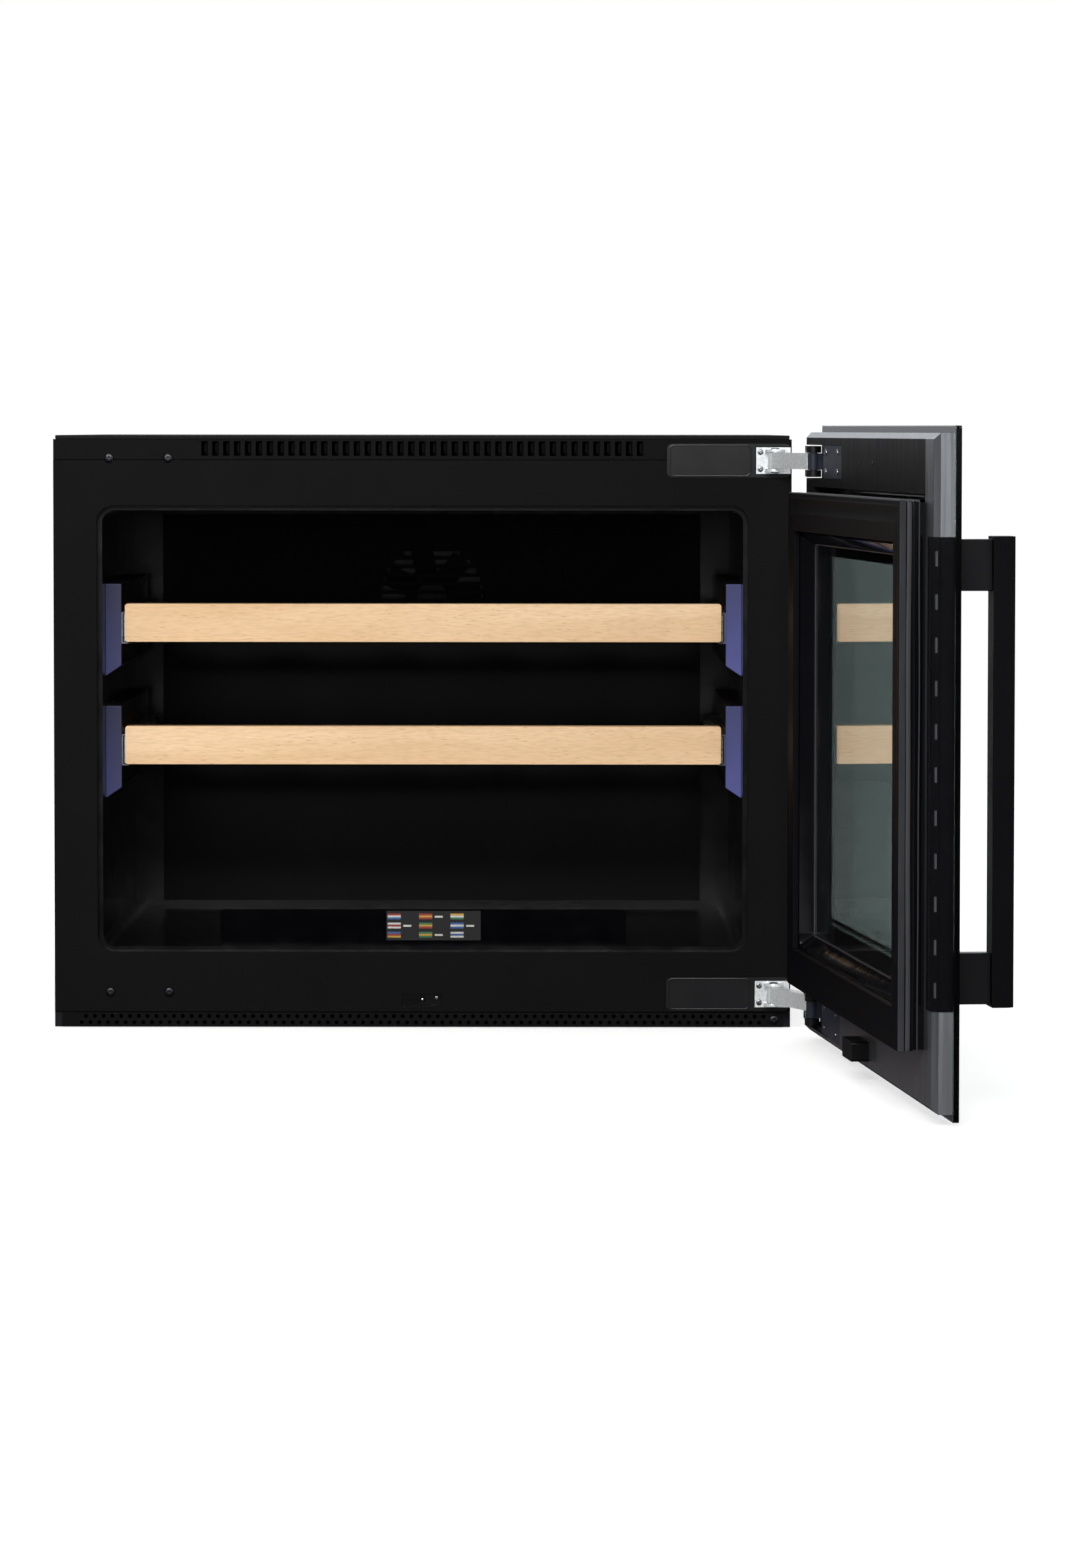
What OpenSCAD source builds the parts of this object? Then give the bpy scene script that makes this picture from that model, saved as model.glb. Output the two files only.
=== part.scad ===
// Built-in wine cooler: a foamed cabinet, a full glass door on two arm-and-link hinges, and two bottle
// shelves on telescopic rails. The door stands at its open stop and both shelves are in.
// The origin is in the middle of the base pan's underside: +X right, +Y to the back, +Z up. Millimetres.

/* [Cabinet] */
// Width of the cabinet
cab_w = 560; // [460:1:680]
// Height of the cabinet with its top cover
cab_h = 450; // [430:1:560]
// Depth of the cabinet without its door
cab_d = 535; // [520:1:660]
// Thickness of the shell, deck and partition sheets
sheet = 1; // [0.6:0.1:1.6]
// Thickness of the front frame, vent strip and base grille
front_t = 1.5; // [1:0.1:3]
// Thickness of the back panel
back_t = 2; // [1:0.5:4]
// Thickness of the top cover
cover_t = 3; // [1.5:0.1:5]
// Height of the air channel under the cabinet
base_h = 11.4; // [9:0.1:20]
// Height of the air channel under the top cover
top_channel_h = 15.7; // [14:0.1:20]
// Depth of the machine space at the rear
machine_d = 108; // [106:1:130]

/* [Cavity] */
// Insulated side wall, from the cabinet's side to the inner wall
side_wall = 36.5; // [34:0.5:50]
// Insulated floor, from the base channel to the cavity floor
floor_wall = 49.6; // [46:0.1:60]
// Insulated ceiling, from the cavity to the deck
ceiling_wall = 38.3; // [34:0.1:50]
// Insulated rear wall, from the cavity to the machine space
rear_wall = 42; // [25:1:60]
// Thickness of the liner
liner_t = 1.5; // [1:0.1:3]
// How much wider than the cavity its mouth is, on each side
lip = 3.5; // [2:0.1:6]
// Depth of the wider mouth
lip_d = 8; // [4:1:15]
// Corner radius of the mouth
mouth_r = 13; // [6:1:20]
// Depth of the air duct at the cavity's rear
duct_d = 18; // [17:1:24]

/* [Front fittings] */
// Number of slots in the vent strip
vent_slots = 41; // [11:2:51]
// Distance from slot to slot in the vent strip
vent_pitch = 8.25; // [7:0.05:9]
// Width of a slot in the vent strip
vent_slot_w = 5; // [3:0.1:5.5]
// Number of holes in each row of the base grille
grille_holes = 78; // [10:1:80]
// Distance from hole to hole in the base grille
grille_pitch = 6.7; // [5:0.1:7]
// Diameter of a hole in the base grille
grille_hole_d = 3; // [2:0.1:3.4]
// Width of the sill plate on the cavity floor
sill_w = 310; // [200:1:340]
// Height of the sill plate
sill_h = 27; // [15:1:35]
// Width of the door sensor
sensor_w = 30; // [20:1:40]
// Height of the door sensor
sensor_h = 8.6; // [6:0.1:10]

/* [Shelves] */
// Height of the upper shelf's front board above the cavity floor
shelf_rise = 231.5; // [200:0.5:240]
// Distance from shelf to shelf
shelf_pitch = 93.5; // [86:0.5:110]
// Height of a front board
board_h = 29; // [24:1:36]
// Thickness of a front board
board_t = 18; // [12:1:22]
// Distance of the front boards behind the cabinet's front
board_inset = 25; // [15:1:35]
// Depth of the lit side panels
panel_d = 315; // [300:1:318]
// Height of a lit side panel
panel_h = 71; // [60:1:78]
// Thickness of a lit side panel
panel_t = 12; // [8:0.5:16]
// Length of the rails
rail_len = 310; // [290:1:312]
// Height of the outer rail member
rail_h = 24; // [20:1:26]
// Thickness of the rail sheet
rail_sheet = 1.2; // [1:0.1:1.5]
// Running gap between rail members, up and down
rail_gap = 0.5; // [0.3:0.1:0.8]
// Bottles side by side on a shelf
bottle_count = 5; // [3:1:5]
// Distance from bottle to bottle
bottle_pitch = 84; // [80:1:90]
// Diameter of the bottle cradles
bottle_d = 78; // [70:1:90]

/* [Door] */
// How far the glass overhangs the cabinet on each side
glass_lap = 17.5; // [5:0.5:20]
// Height of the glass's lower edge above the floor
glass_foot = 2.5; // [1:0.5:6]
// How far the glass stands above the cabinet's top
glass_head = 7.5; // [2:0.5:12]
// Thickness of the outer glass
glass_t = 4; // [3:0.5:6]
// Distance from the glass's inner face to the cabinet's front, when the door is shut
door_gap = 31; // [29:0.5:36]
// How far the glass overhangs the aluminium frame
frame_inset = 5; // [3:0.5:8]
// Width of the aluminium frame
frame_w = 40; // [39:1:42]
// Thickness of the aluminium frame
frame_t = 13; // [12.5:0.5:14]
// Wall of the aluminium frame
frame_wall = 1.5; // [1:0.1:2]
// Bevel along the aluminium frame's outer edge
frame_bevel = 4; // [2:0.5:5]
// How far the gasket laps the cabinet's front around the mouth
gasket_lap = 12; // [9:0.5:12]
// Width of the gasket
gasket_w = 28; // [14:1:29]
// Thickness of the gasket
gasket_t = 4.7; // [3:0.1:6]
// Gap left between the gasket and the cabinet when the door is shut
gasket_gap = 0.3; // [0.2:0.1:0.6]
// Width of the flat face that carries the gasket
carrier_w = 29.5; // [29.5:0.5:33]
// Distance from the gasket's outer edge to the window's opening
window_inset = 37.5; // [35:0.5:45]
// Thickness of the inner pane
pane_t = 7; // [4:0.5:9]

/* [Handle] */
// Length of the handle bar
handle_len = 310; // [200:1:380]
// Width of the handle bar
handle_w = 22; // [14:1:26]
// Thickness of the handle bar
handle_t = 15; // [10:0.5:20]
// Distance from the glass to the handle bar
handle_reach = 26.5; // [22:0.5:40]
// Distance of the handle bar from the glass's free edge
handle_inset = 30; // [20:1:40]
// Height of a handle post
post_h = 34; // [20:1:45]
// Thickness of a handle post
post_t = 12; // [8:0.5:16]

/* [Hinges] */
// Height of the lower hinge's middle above the floor
hinge_low = 25.5; // [25:0.5:30]
// Distance of the upper hinge's middle below the cabinet's top
hinge_high = 19; // [19:0.5:24]
// Distance of the cabinet pivot from the cabinet's side
arm_pivot_inset = 13; // [12:0.5:16]
// Length of the arm across the cabinet, when the door is shut
arm_run = 67; // [64:0.5:70]
// Length of the link across the cabinet, when the door is shut
link_run = 57.5; // [56:0.5:58]
// Turn of the arm from shut to open, in degrees
arm_turn = 111.7; // [80:0.1:111.7]
// Diameter of the cabinet pivot pin
arm_pin_d = 6; // [4:0.1:7]
// Diameter of the elbow pin and of the door pivot pin
link_pin_d = 5; // [4:0.1:5.5]
// Height of the arm
arm_h = 12; // [10:0.1:12.4]
// Radial running clearance of the hinge pins and of the fans on their shafts
pin_clear = 0.05; // [0.02:0.01:0.08]

/* [Hidden] */

$fn = 48;
eps = 0.01;
seam = 0.4;

// Everything is drawn with the cabinet's front at Y = 0 and then moved back to the origin.
front_y = -cab_d / 2;
half_w = cab_w / 2;
inner_half = half_w - sheet;
cover_z = cab_h - cover_t;
deck_z = cover_z - top_channel_h;
part_y = cab_d - machine_d;
rear_y = cab_d - back_t;
cav_half = half_w - side_wall;
cav_floor = base_h + floor_wall;
cav_ceil = deck_z - ceiling_wall;
cav_d = part_y - rear_wall;
mouth_half = cav_half + lip;
mouth_low = cav_floor - lip;
mouth_high = cav_ceil + lip;
sensor_z = base_h + 5.1;
sensor_d = 14;

// Shelf heights, and the rails that carry the shelves inside the lit panels.
shelf_zs = [cav_floor + shelf_rise - shelf_pitch, cav_floor + shelf_rise];
rail_y = board_inset + board_t;
rail_mid_z = 10;
panel_drop = 27;
panel_slant = 8;
outer_x = cav_half - panel_t;
flange_d = 5;
web_gap = 0.8;
middle_x = outer_x - rail_sheet - web_gap;
inner_x = middle_x - rail_sheet - web_gap;
inner_rail_t = 5.8;
middle_h = rail_h - 2 * rail_sheet - 2 * rail_gap;
inner_h = middle_h - 2 * rail_sheet - 2 * rail_gap;
tray_half = inner_x - inner_rail_t;
board_half = outer_x - 4;

// The door, drawn shut: Y from the glass's inner face toward the cabinet is "door depth".
glass_half = half_w + glass_lap;
glass_low = glass_foot;
glass_high = cab_h + glass_head;
door_mid = (glass_low + glass_high) / 2;
frame_half = glass_half - frame_inset;
frame_low = glass_low + frame_inset;
frame_high = glass_high - frame_inset;
gasket_half = mouth_half + gasket_lap;
gasket_low = mouth_low - gasket_lap;
gasket_high = mouth_high + gasket_lap;
gasket_seat = door_gap - gasket_gap - gasket_t;
pane_depth = 15;
pan_t = 1.5;
pane_lap = 7;
window_half = gasket_half - window_inset;
window_low = gasket_low + window_inset;
window_high = gasket_high - window_inset;
handle_low = door_mid - handle_len / 2;
handle_high = door_mid + handle_len / 2;
handle_x = -glass_half + handle_inset;
handle_face = -glass_t - handle_reach - handle_t;

// Hinge pivots seen from above, shut: the arm's on the cabinet, the elbow, and the link's on the door.
hinge_zs = [hinge_low, cab_h - hinge_high];
arm_pivot = [half_w - arm_pivot_inset, -8];
elbow_shut = arm_pivot + [-arm_run, -1];
door_pivot_shut = elbow_shut + [link_run, -10];
link_ratio = -1.7296;
door_ratio = 1.5882;
link_turn = link_ratio * arm_turn;
door_turn = door_ratio * arm_turn;
open_angle = arm_turn + link_turn + door_turn;
elbow_open = arm_pivot + turned(elbow_shut - arm_pivot, arm_turn);
door_pivot_open = elbow_open + turned(door_pivot_shut - elbow_shut, arm_turn + link_turn);
ear_gap = 0.3;
ear_t = 2.3;
link_gap = 0.4;
link_t = 5;
arm_hub_r = 5.5;
arm_w = 9;
ear_r = 7.5;
link_r = 5.5;
boss_r = 4.5;
bracket_h = 20;
hinge_cover_h = 25.5;
hinge_cover_w = 93.5;
hinge_cover_t = 1.2;
cup_h = 24.4;
cup_len = 178;
hinge_block_start = 95;

// Fans and machine space.
duct_fan_z = cav_ceil - 75;
duct_fan_r = 42;
machine_fan_x = -20;
machine_fan_z = 62;
machine_fan_r = 42;
machine_mid_y = (part_y + sheet + rear_y) / 2;
shaft_r = 2;
inlet_x = -half_w + 60;
inlet_z = 40;
inlet_half_w = 13.8;
inlet_half_h = 10.3;
inlet_gap = 0.2;

function turned(p, a) = [p.x * cos(a) - p.y * sin(a), p.x * sin(a) + p.y * cos(a)];

// A box between two corners.
module box(low, high) {
    translate(low)
        cube(high - low);
}

// The same shape at X and at -X.
module both_sides() {
    children();
    mirror([1, 0, 0])
        children();
}

// Puts a drawing made from the cabinet's front into the part's frame.
module placed(tint) {
    color(tint)
        translate([0, front_y, 0])
            children();
}

// A flat rectangle in X and Z with round corners.
module round_rect(x_half, z_low, z_high, r) {
    union() {
        translate([-x_half + r, z_low])
            square([2 * (x_half - r), z_high - z_low]);
        translate([-x_half, z_low + r])
            square([2 * x_half, z_high - z_low - 2 * r]);
        for (x = [-x_half + r, x_half - r], z = [z_low + r, z_high - r])
            translate([x, z])
                circle(r);
    }
}

// A plate standing in the XZ plane, from y_low to y_high.
module upright(y_low, y_high) {
    translate([0, y_high, 0])
        rotate([90, 0, 0])
            linear_extrude(y_high - y_low)
                children();
}

// A round bar along Y.
module rod_y(r, y_low, y_high) {
    translate([0, y_low, 0])
        rotate([-90, 0, 0])
            cylinder(r = r, h = y_high - y_low);
}

// A round bar along X.
module rod_x(r, x_low, x_high) {
    translate([x_low, 0, 0])
        rotate([0, 90, 0])
            cylinder(r = r, h = x_high - x_low);
}

// ---- Cabinet ----

module outer_shell() {
    top_flange = 14;
    placed("#1b1c1e") {
        both_sides()
            box([inner_half, front_t, 0], [half_w, rear_y, cover_z]);
        both_sides()
            box([half_w - top_flange, front_t, cover_z - sheet], [inner_half + eps, rear_y, cover_z]);
        box([-inner_half - eps, front_t, deck_z], [inner_half + eps, rear_y, deck_z + sheet]);
        box([-inner_half - eps, front_t, base_h], [inner_half + eps, part_y, base_h + sheet]);
        box([-inner_half - eps, part_y, base_h], [inner_half + eps, part_y + sheet, deck_z + eps]);
    }
}

// A sheet with its edges folded down all round.
module top_cover() {
    cover_inset = 1.7;
    edge = half_w - cover_inset;
    hem = 1.2;
    placed("#1b1c1e")
        difference() {
            box([-edge, 0, cover_z], [edge, cab_d, cab_h]);
            box([-edge + hem, hem, cover_z - 1], [edge - hem, cab_d - hem, cab_h - sheet]);
        }
}

module vent_strip() {
    slot_margin = 4.7;
    slot_lift = 0.8;
    slot_h = top_channel_h - slot_margin;
    slot_z = deck_z + slot_margin / 2 + slot_lift;
    placed("#17181a")
        difference() {
            box([-half_w + seam, 0, deck_z + seam], [half_w - seam, front_t, cover_z]);
            for (i = [0:vent_slots - 1])
                translate([(i - (vent_slots - 1) / 2) * vent_pitch, 0, slot_z])
                    box([-vent_slot_w / 2, -1, 0], [vent_slot_w / 2, front_t + 1, slot_h]);
        }
}

module mouth_shape() {
    round_rect(mouth_half, mouth_low, mouth_high, mouth_r);
}

module front_frame() {
    placed("#141517")
        difference() {
            box([-half_w, 0, base_h], [half_w, front_t, deck_z]);
            upright(-1, front_t + 1)
                mouth_shape();
            box([-sensor_w / 2, -1, sensor_z], [sensor_w / 2, front_t + 1, sensor_z + sensor_h]);
        }
}

// The liner's outer faces, grown by a thickness: the foam is cut to the same shape.
module liner_body(grow) {
    upright(front_t - eps, lip_d + grow)
        round_rect(mouth_half + grow, mouth_low - grow, mouth_high + grow, mouth_r + grow);
    upright(lip_d, cav_d + grow)
        round_rect(cav_half + grow, cav_floor - grow, cav_ceil + grow, mouth_r - lip + grow);
}

module cavity_liner() {
    placed("#101113")
        difference() {
            intersection() {
                liner_body(liner_t);
                box([-half_w, front_t, 0], [half_w, part_y, cab_h]);
            }
            upright(0, lip_d)
                round_rect(mouth_half, mouth_low, mouth_high, mouth_r);
            upright(0, cav_d)
                round_rect(cav_half, cav_floor, cav_ceil, mouth_r - lip);
        }
}

module insulation() {
    placed("#d9cfae")
        difference() {
            box([-inner_half, front_t, base_h + sheet], [inner_half, part_y, deck_z]);
            liner_body(liner_t);
            box([-sensor_w / 2, 0, sensor_z], [sensor_w / 2, sensor_d, sensor_z + sensor_h]);
        }
}

module back_panel() {
    slot_count = 14;
    slot_start = 90;
    slot_pitch = 12;
    slot_w = 6;
    slot_h = 70;
    slot_drop = 110;
    placed("#232426")
        difference() {
            box([-half_w + seam, rear_y, 0], [half_w - seam, cab_d, cover_z]);
            for (side = [-1, 1], i = [0:slot_count - 1])
                translate([side * (slot_start + slot_pitch * i) - slot_w / 2, rear_y - 1, cover_z - slot_drop])
                    cube([slot_w, back_t + 2, slot_h]);
            box([inlet_x - inlet_half_w - inlet_gap, rear_y - 1, inlet_z - inlet_half_h - inlet_gap],
                [inlet_x + inlet_half_w + inlet_gap, cab_d + 1, inlet_z + inlet_half_h + inlet_gap]);
        }
}

module base_pan() {
    pan_sheet = 1.5;
    rail_foot = 17;
    placed("#2a2b2d") {
        box([-inner_half, front_t, 0], [inner_half, rear_y, pan_sheet]);
        both_sides()
            box([inner_half - rail_foot, front_t, pan_sheet - eps], [inner_half, part_y, base_h]);
    }
}

module base_grille() {
    grille_half = half_w - 5.5;
    top_gap = seam;
    row_zs = [3.4, 8.2];
    placed("#17181a")
        difference() {
            box([-grille_half, 0, 0], [grille_half, front_t, base_h - top_gap]);
            for (row = [0, 1], i = [0:grille_holes - 1])
                translate([(i - (grille_holes - 1) / 2 + row / 2 - 0.25) * grille_pitch, 0, row_zs[row]])
                    rod_y(grille_hole_d / 2, -1, front_t + 1, $fn = 16);
        }
}

module sill_plate() {
    sill_y = 22;
    sill_t = 3;
    foot_d = 18;
    placed("#1c1d20") {
        upright(sill_y, sill_y + sill_t)
            round_rect(sill_w / 2, cav_floor, cav_floor + sill_h, 2);
        box([-sill_w / 2, sill_y + sill_t - eps, cav_floor],
            [sill_w / 2, sill_y + sill_t + foot_d, cav_floor + 2]);
    }
}

module door_sensor() {
    edge = 0.3;
    placed("#0d0e0f")
        difference() {
            box([-sensor_w / 2 + edge, 0.6, sensor_z + edge],
                [sensor_w / 2 - edge, sensor_d, sensor_z + sensor_h - edge]);
            translate([0, 0, sensor_z + sensor_h / 2])
                rod_y(2, 0, 2.5);
        }
}

// ---- Hinge parts on the cabinet ----

// A thin cover with a notch, open to the right, that the bracket stands in.
module hinge_cover(z) {
    right = half_w - 1;
    notch_x = arm_pivot.x - 14.5;
    notch_gap = 0.5;
    corner = 4;
    placed("#26282b")
        difference() {
            translate([right - hinge_cover_w / 2, 0, 0])
                upright(-hinge_cover_t, 0)
                    round_rect(hinge_cover_w / 2, z - hinge_cover_h / 2, z + hinge_cover_h / 2, corner);
            box([notch_x, -hinge_cover_t - 1, z - bracket_h / 2 - notch_gap],
                [right + 1, 1, z + bracket_h / 2 + notch_gap]);
        }
}

// A flange on the cabinet's front with two ears and the pin that the arm turns on.
module hinge_bracket(z) {
    flange_t = 2;
    flange_in = 14;
    flange_out = 12;
    ear_low = arm_h / 2 + ear_gap;
    ear_high = ear_low + ear_t;
    placed("#b9bcc0")
        translate([arm_pivot.x, 0, z]) {
            box([-flange_in, -flange_t, -bracket_h / 2], [flange_out, 0, bracket_h / 2]);
            for (side = [0, 1])
                mirror([0, 0, side]) {
                    translate([0, arm_pivot.y, ear_low])
                        cylinder(r = ear_r, h = ear_high - ear_low);
                    box([-ear_r, arm_pivot.y, ear_low], [ear_r, -flange_t + eps, ear_high]);
                }
            translate([0, arm_pivot.y, -ear_high])
                cylinder(d = arm_pin_d, h = 2 * ear_high);
        }
}

// ---- Arms and links ----

// Moves a shape drawn shut to where it stands with the door open, seen from above.
module swung(from, to, angle) {
    translate([to.x, to.y, 0])
        rotate([0, 0, angle])
            translate([-from.x, -from.y, 0])
                children();
}

// A flat bar between two points seen from above.
module strap(a, b, width) {
    run = b - a;
    translate([a.x, a.y, 0])
        rotate([0, 0, atan2(run.y, run.x)])
            translate([0, -width / 2])
                square([norm(run), width]);
}

module hinge_arm(z) {
    placed("#c4c7ca")
        swung(arm_pivot, arm_pivot, arm_turn)
            translate([0, 0, z - arm_h / 2])
                difference() {
                    linear_extrude(arm_h)
                        union() {
                            translate(arm_pivot)
                                circle(arm_hub_r);
                            translate(elbow_shut)
                                circle(link_r);
                            strap(arm_pivot, elbow_shut, arm_w);
                        }
                    translate([arm_pivot.x, arm_pivot.y, -1])
                        cylinder(r = arm_pin_d / 2 + pin_clear, h = arm_h + 2);
                    translate([elbow_shut.x, elbow_shut.y, -1])
                        cylinder(r = link_pin_d / 2 + pin_clear, h = arm_h + 2);
                }
}

// Two straps, above and below the arm, joined by the elbow pin; bored for the door's pin.
module hinge_link(z) {
    low = arm_h / 2 + link_gap;
    placed("#15161a")
        swung(elbow_shut, elbow_open, arm_turn + link_turn)
            translate([0, 0, z]) {
                for (side = [0, 1])
                    mirror([0, 0, side])
                        translate([0, 0, low])
                            difference() {
                                linear_extrude(link_t)
                                    union() {
                                        translate(elbow_shut)
                                            circle(link_r);
                                        translate(door_pivot_shut)
                                            circle(link_r);
                                        strap(elbow_shut, door_pivot_shut, 2 * link_r - 1);
                                    }
                                translate([door_pivot_shut.x, door_pivot_shut.y, -1])
                                    cylinder(r = link_pin_d / 2 + pin_clear, h = link_t + 2);
                            }
                translate([elbow_shut.x, elbow_shut.y, -low - link_t + eps])
                    cylinder(d = link_pin_d, h = 2 * (low + link_t - eps));
            }
}

// ---- Door: every piece is drawn shut and swung open by door_piece ----

module door_piece(tint) {
    placed(tint)
        swung(door_pivot_shut, door_pivot_open, open_angle)
            translate([0, -door_gap, 0])
                children();
}

module glass_panel() {
    door_piece("#22262a")
        upright(-glass_t, 0)
            round_rect(glass_half, glass_low, glass_high, 2);
}

// A frame-shaped ring: the outer rectangle less a rectangle that is narrower by width on every side.
module ring(x_half, z_low, z_high, width, depth_low, depth_high) {
    difference() {
        box([-x_half, depth_low, z_low], [x_half, depth_high, z_high]);
        box([-x_half + width, depth_low - 1, z_low + width],
            [x_half - width, depth_high + 1, z_high - width]);
    }
}

// A bar along the cutting corner, turned by 45 degrees.
module bevel_cut(length) {
    rotate([45, 0, 0])
        cube([length, frame_bevel * sqrt(2), frame_bevel * sqrt(2)], center = true);
}

module frame_outline() {
    wide = 4 * half_w;
    difference() {
        ring(frame_half, frame_low, frame_high, frame_w, 0, frame_t);
        for (z = [frame_low, frame_high])
            translate([0, frame_t, z])
                bevel_cut(wide);
        for (x = [-frame_half, frame_half])
            translate([x, frame_t, door_mid])
                rotate([0, 90, 0])
                    bevel_cut(wide);
    }
}

module door_frame() {
    cup_low = glass_half - frame_inset - cup_len;
    door_piece("#a9abae")
        difference() {
            frame_outline();
            ring(frame_half - frame_wall, frame_low + frame_wall, frame_high - frame_wall,
                 frame_w - 2 * frame_wall, -1, frame_t - frame_bevel - frame_wall);
            ring(frame_half - frame_bevel - frame_wall, frame_low + frame_bevel + frame_wall,
                 frame_high - frame_bevel - frame_wall, frame_w - frame_bevel - 2 * frame_wall,
                 -1, frame_t - frame_wall);
            for (z = hinge_zs)
                box([cup_low, -1, z - cup_h / 2], [frame_half + 1, frame_t + 1, z + cup_h / 2]);
        }
}

// A channel in the frame: a base strip on the glass, a block, and the boss with the link's pin.
module door_hinge(z) {
    strip_t = 1.5;
    edge = 0.3;
    strip_high = frame_half - 3.5;
    strip_low = glass_half - frame_inset - cup_len + edge;
    block_high = glass_half - hinge_block_start;
    pivot_depth = door_pivot_shut.y + door_gap;
    boss_h = arm_h / 2 + link_gap - 0.3;
    pin_h = arm_h / 2 + link_gap + link_t;
    door_piece("#23262d") {
        box([strip_low, 0, z - cup_h / 2 + edge], [strip_high, strip_t, z + cup_h / 2 - edge]);
        box([strip_low, strip_t - eps, z - cup_h / 2 + edge], [block_high, frame_t, z + cup_h / 2 - edge]);
        translate([door_pivot_shut.x, pivot_depth, z - boss_h])
            cylinder(r = boss_r, h = 2 * boss_h);
        box([door_pivot_shut.x - 3.5, strip_t - eps, z - boss_h],
            [door_pivot_shut.x + 3.5, pivot_depth, z + boss_h]);
        translate([door_pivot_shut.x, pivot_depth, z - pin_h])
            cylinder(d = link_pin_d, h = 2 * pin_h);
    }
}

// The carrier of the gasket: a ring with the window's opening, rebated behind for the inner pane.
module door_liner() {
    rim_edge = 1.5;
    rebate = pane_lap + 0.3;
    door_piece("#0c0d0f")
        difference() {
            box([-gasket_half + rim_edge, frame_t, gasket_low + rim_edge],
                [gasket_half - rim_edge, gasket_seat, gasket_high - rim_edge]);
            box([-gasket_half + carrier_w, pane_depth + pan_t, gasket_low + carrier_w],
                [gasket_half - carrier_w, gasket_seat + 1, gasket_high - carrier_w]);
            box([-window_half - rebate, frame_t - 1, window_low - rebate],
                [window_half + rebate, pane_depth, window_high + rebate]);
            box([-window_half, frame_t - 1, window_low], [window_half, gasket_seat + 1, window_high]);
        }
}

module window_pane() {
    door_piece("#59615c")
        box([-window_half - pane_lap, pane_depth - pane_t, window_low - pane_lap],
            [window_half + pane_lap, pane_depth, window_high + pane_lap]);
}

module door_gasket() {
    door_piece("#17181a")
        ring(gasket_half, gasket_low, gasket_high, gasket_w, gasket_seat, gasket_seat + gasket_t);
}

module handle_bar() {
    chamfer = 3;
    door_piece("#191a1c")
        translate([0, 0, handle_low])
            linear_extrude(handle_len)
                polygon([
                    [handle_x, handle_face + handle_t],
                    [handle_x, handle_face + chamfer],
                    [handle_x + chamfer, handle_face],
                    [handle_x + handle_w - chamfer, handle_face],
                    [handle_x + handle_w, handle_face + chamfer],
                    [handle_x + handle_w, handle_face + handle_t]
                ]);
}

module handle_post(z_low) {
    x_mid = handle_x + handle_w / 2;
    door_piece("#2c2f35")
        box([x_mid - post_t / 2, handle_face + handle_t, z_low],
            [x_mid + post_t / 2, -glass_t, z_low + post_h]);
}

// A dark trim on the frame's free edge, as long as the handle, with a row of slots in its bevel strip.
module edge_trim() {
    trim_t = 0.8;
    slot_count = 11;
    slot_len = 10;
    bevel_run = frame_bevel * sqrt(2);
    front_w = 18;
    door_piece("#0e0f11")
        difference() {
            union() {
                box([-frame_half - trim_t, 0, handle_low],
                    [-frame_half, frame_t - frame_bevel, handle_high]);
                box([-frame_half + frame_bevel, frame_t, handle_low],
                    [-frame_half + frame_bevel + front_w, frame_t + trim_t, handle_high]);
                translate([-frame_half, frame_t - frame_bevel, handle_low])
                    rotate([0, 0, 45])
                        box([-0.3, 0, 0], [bevel_run + 0.3, trim_t, handle_len]);
            }
            for (i = [0:slot_count - 1])
                translate([-frame_half, frame_t - frame_bevel,
                           handle_low + (i + 0.5) * handle_len / slot_count])
                    rotate([0, 0, 45])
                        box([1.6, -0.2, -slot_len / 2], [4, trim_t + 1, slot_len / 2]);
        }
}

module sensor_magnet() {
    block_half = 22;
    block_t = 12;
    block_low = sensor_z - 1.5;
    door_piece("#101113")
        upright(frame_t, frame_t + block_t)
            round_rect(block_half, block_low, block_low + 14, 2);
}

// ---- Lit side panels and telescopic rails ----

module light_panel(z) {
    low = z - panel_drop;
    placed("#8f93d8")
        upright(rail_y, rail_y + panel_d)
            polygon([
                [cav_half, low],
                [cav_half, low + panel_h],
                [outer_x, low + panel_h],
                [outer_x, low + panel_slant]
            ]);
}

// A channel with its web at x_web, open toward the middle of the cavity.
module rail_channel(x_web, z, height, y_low, y_high) {
    half = height / 2;
    difference() {
        box([x_web - rail_sheet - flange_d + web_gap, y_low, z - half], [x_web, y_high, z + half]);
        box([x_web - rail_sheet - flange_d, y_low - 1, z - half + rail_sheet],
            [x_web - rail_sheet, y_high + 1, z + half - rail_sheet]);
    }
}

module rail_outer(z) {
    placed("#8d9094")
        rail_channel(outer_x, z + rail_mid_z, rail_h, rail_y, rail_y + rail_len);
}

module rail_middle(z) {
    placed("#9a9da1")
        rail_channel(middle_x, z + rail_mid_z, middle_h, rail_y + 1, rail_y + rail_len - 6);
}

module rail_inner(z) {
    mid = z + rail_mid_z;
    placed("#b4b7ba")
        box([tray_half, rail_y, mid - inner_h / 2], [inner_x, rail_y + rail_len - 10, mid + inner_h / 2]);
}

module mirrored_left() {
    mirror([1, 0, 0])
        children();
}

// ---- Shelves ----

module shelf_front(z) {
    placed("#c79a62")
        upright(board_inset, board_inset + board_t)
            round_rect(board_half, z, z + board_h, 2);
}

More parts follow.
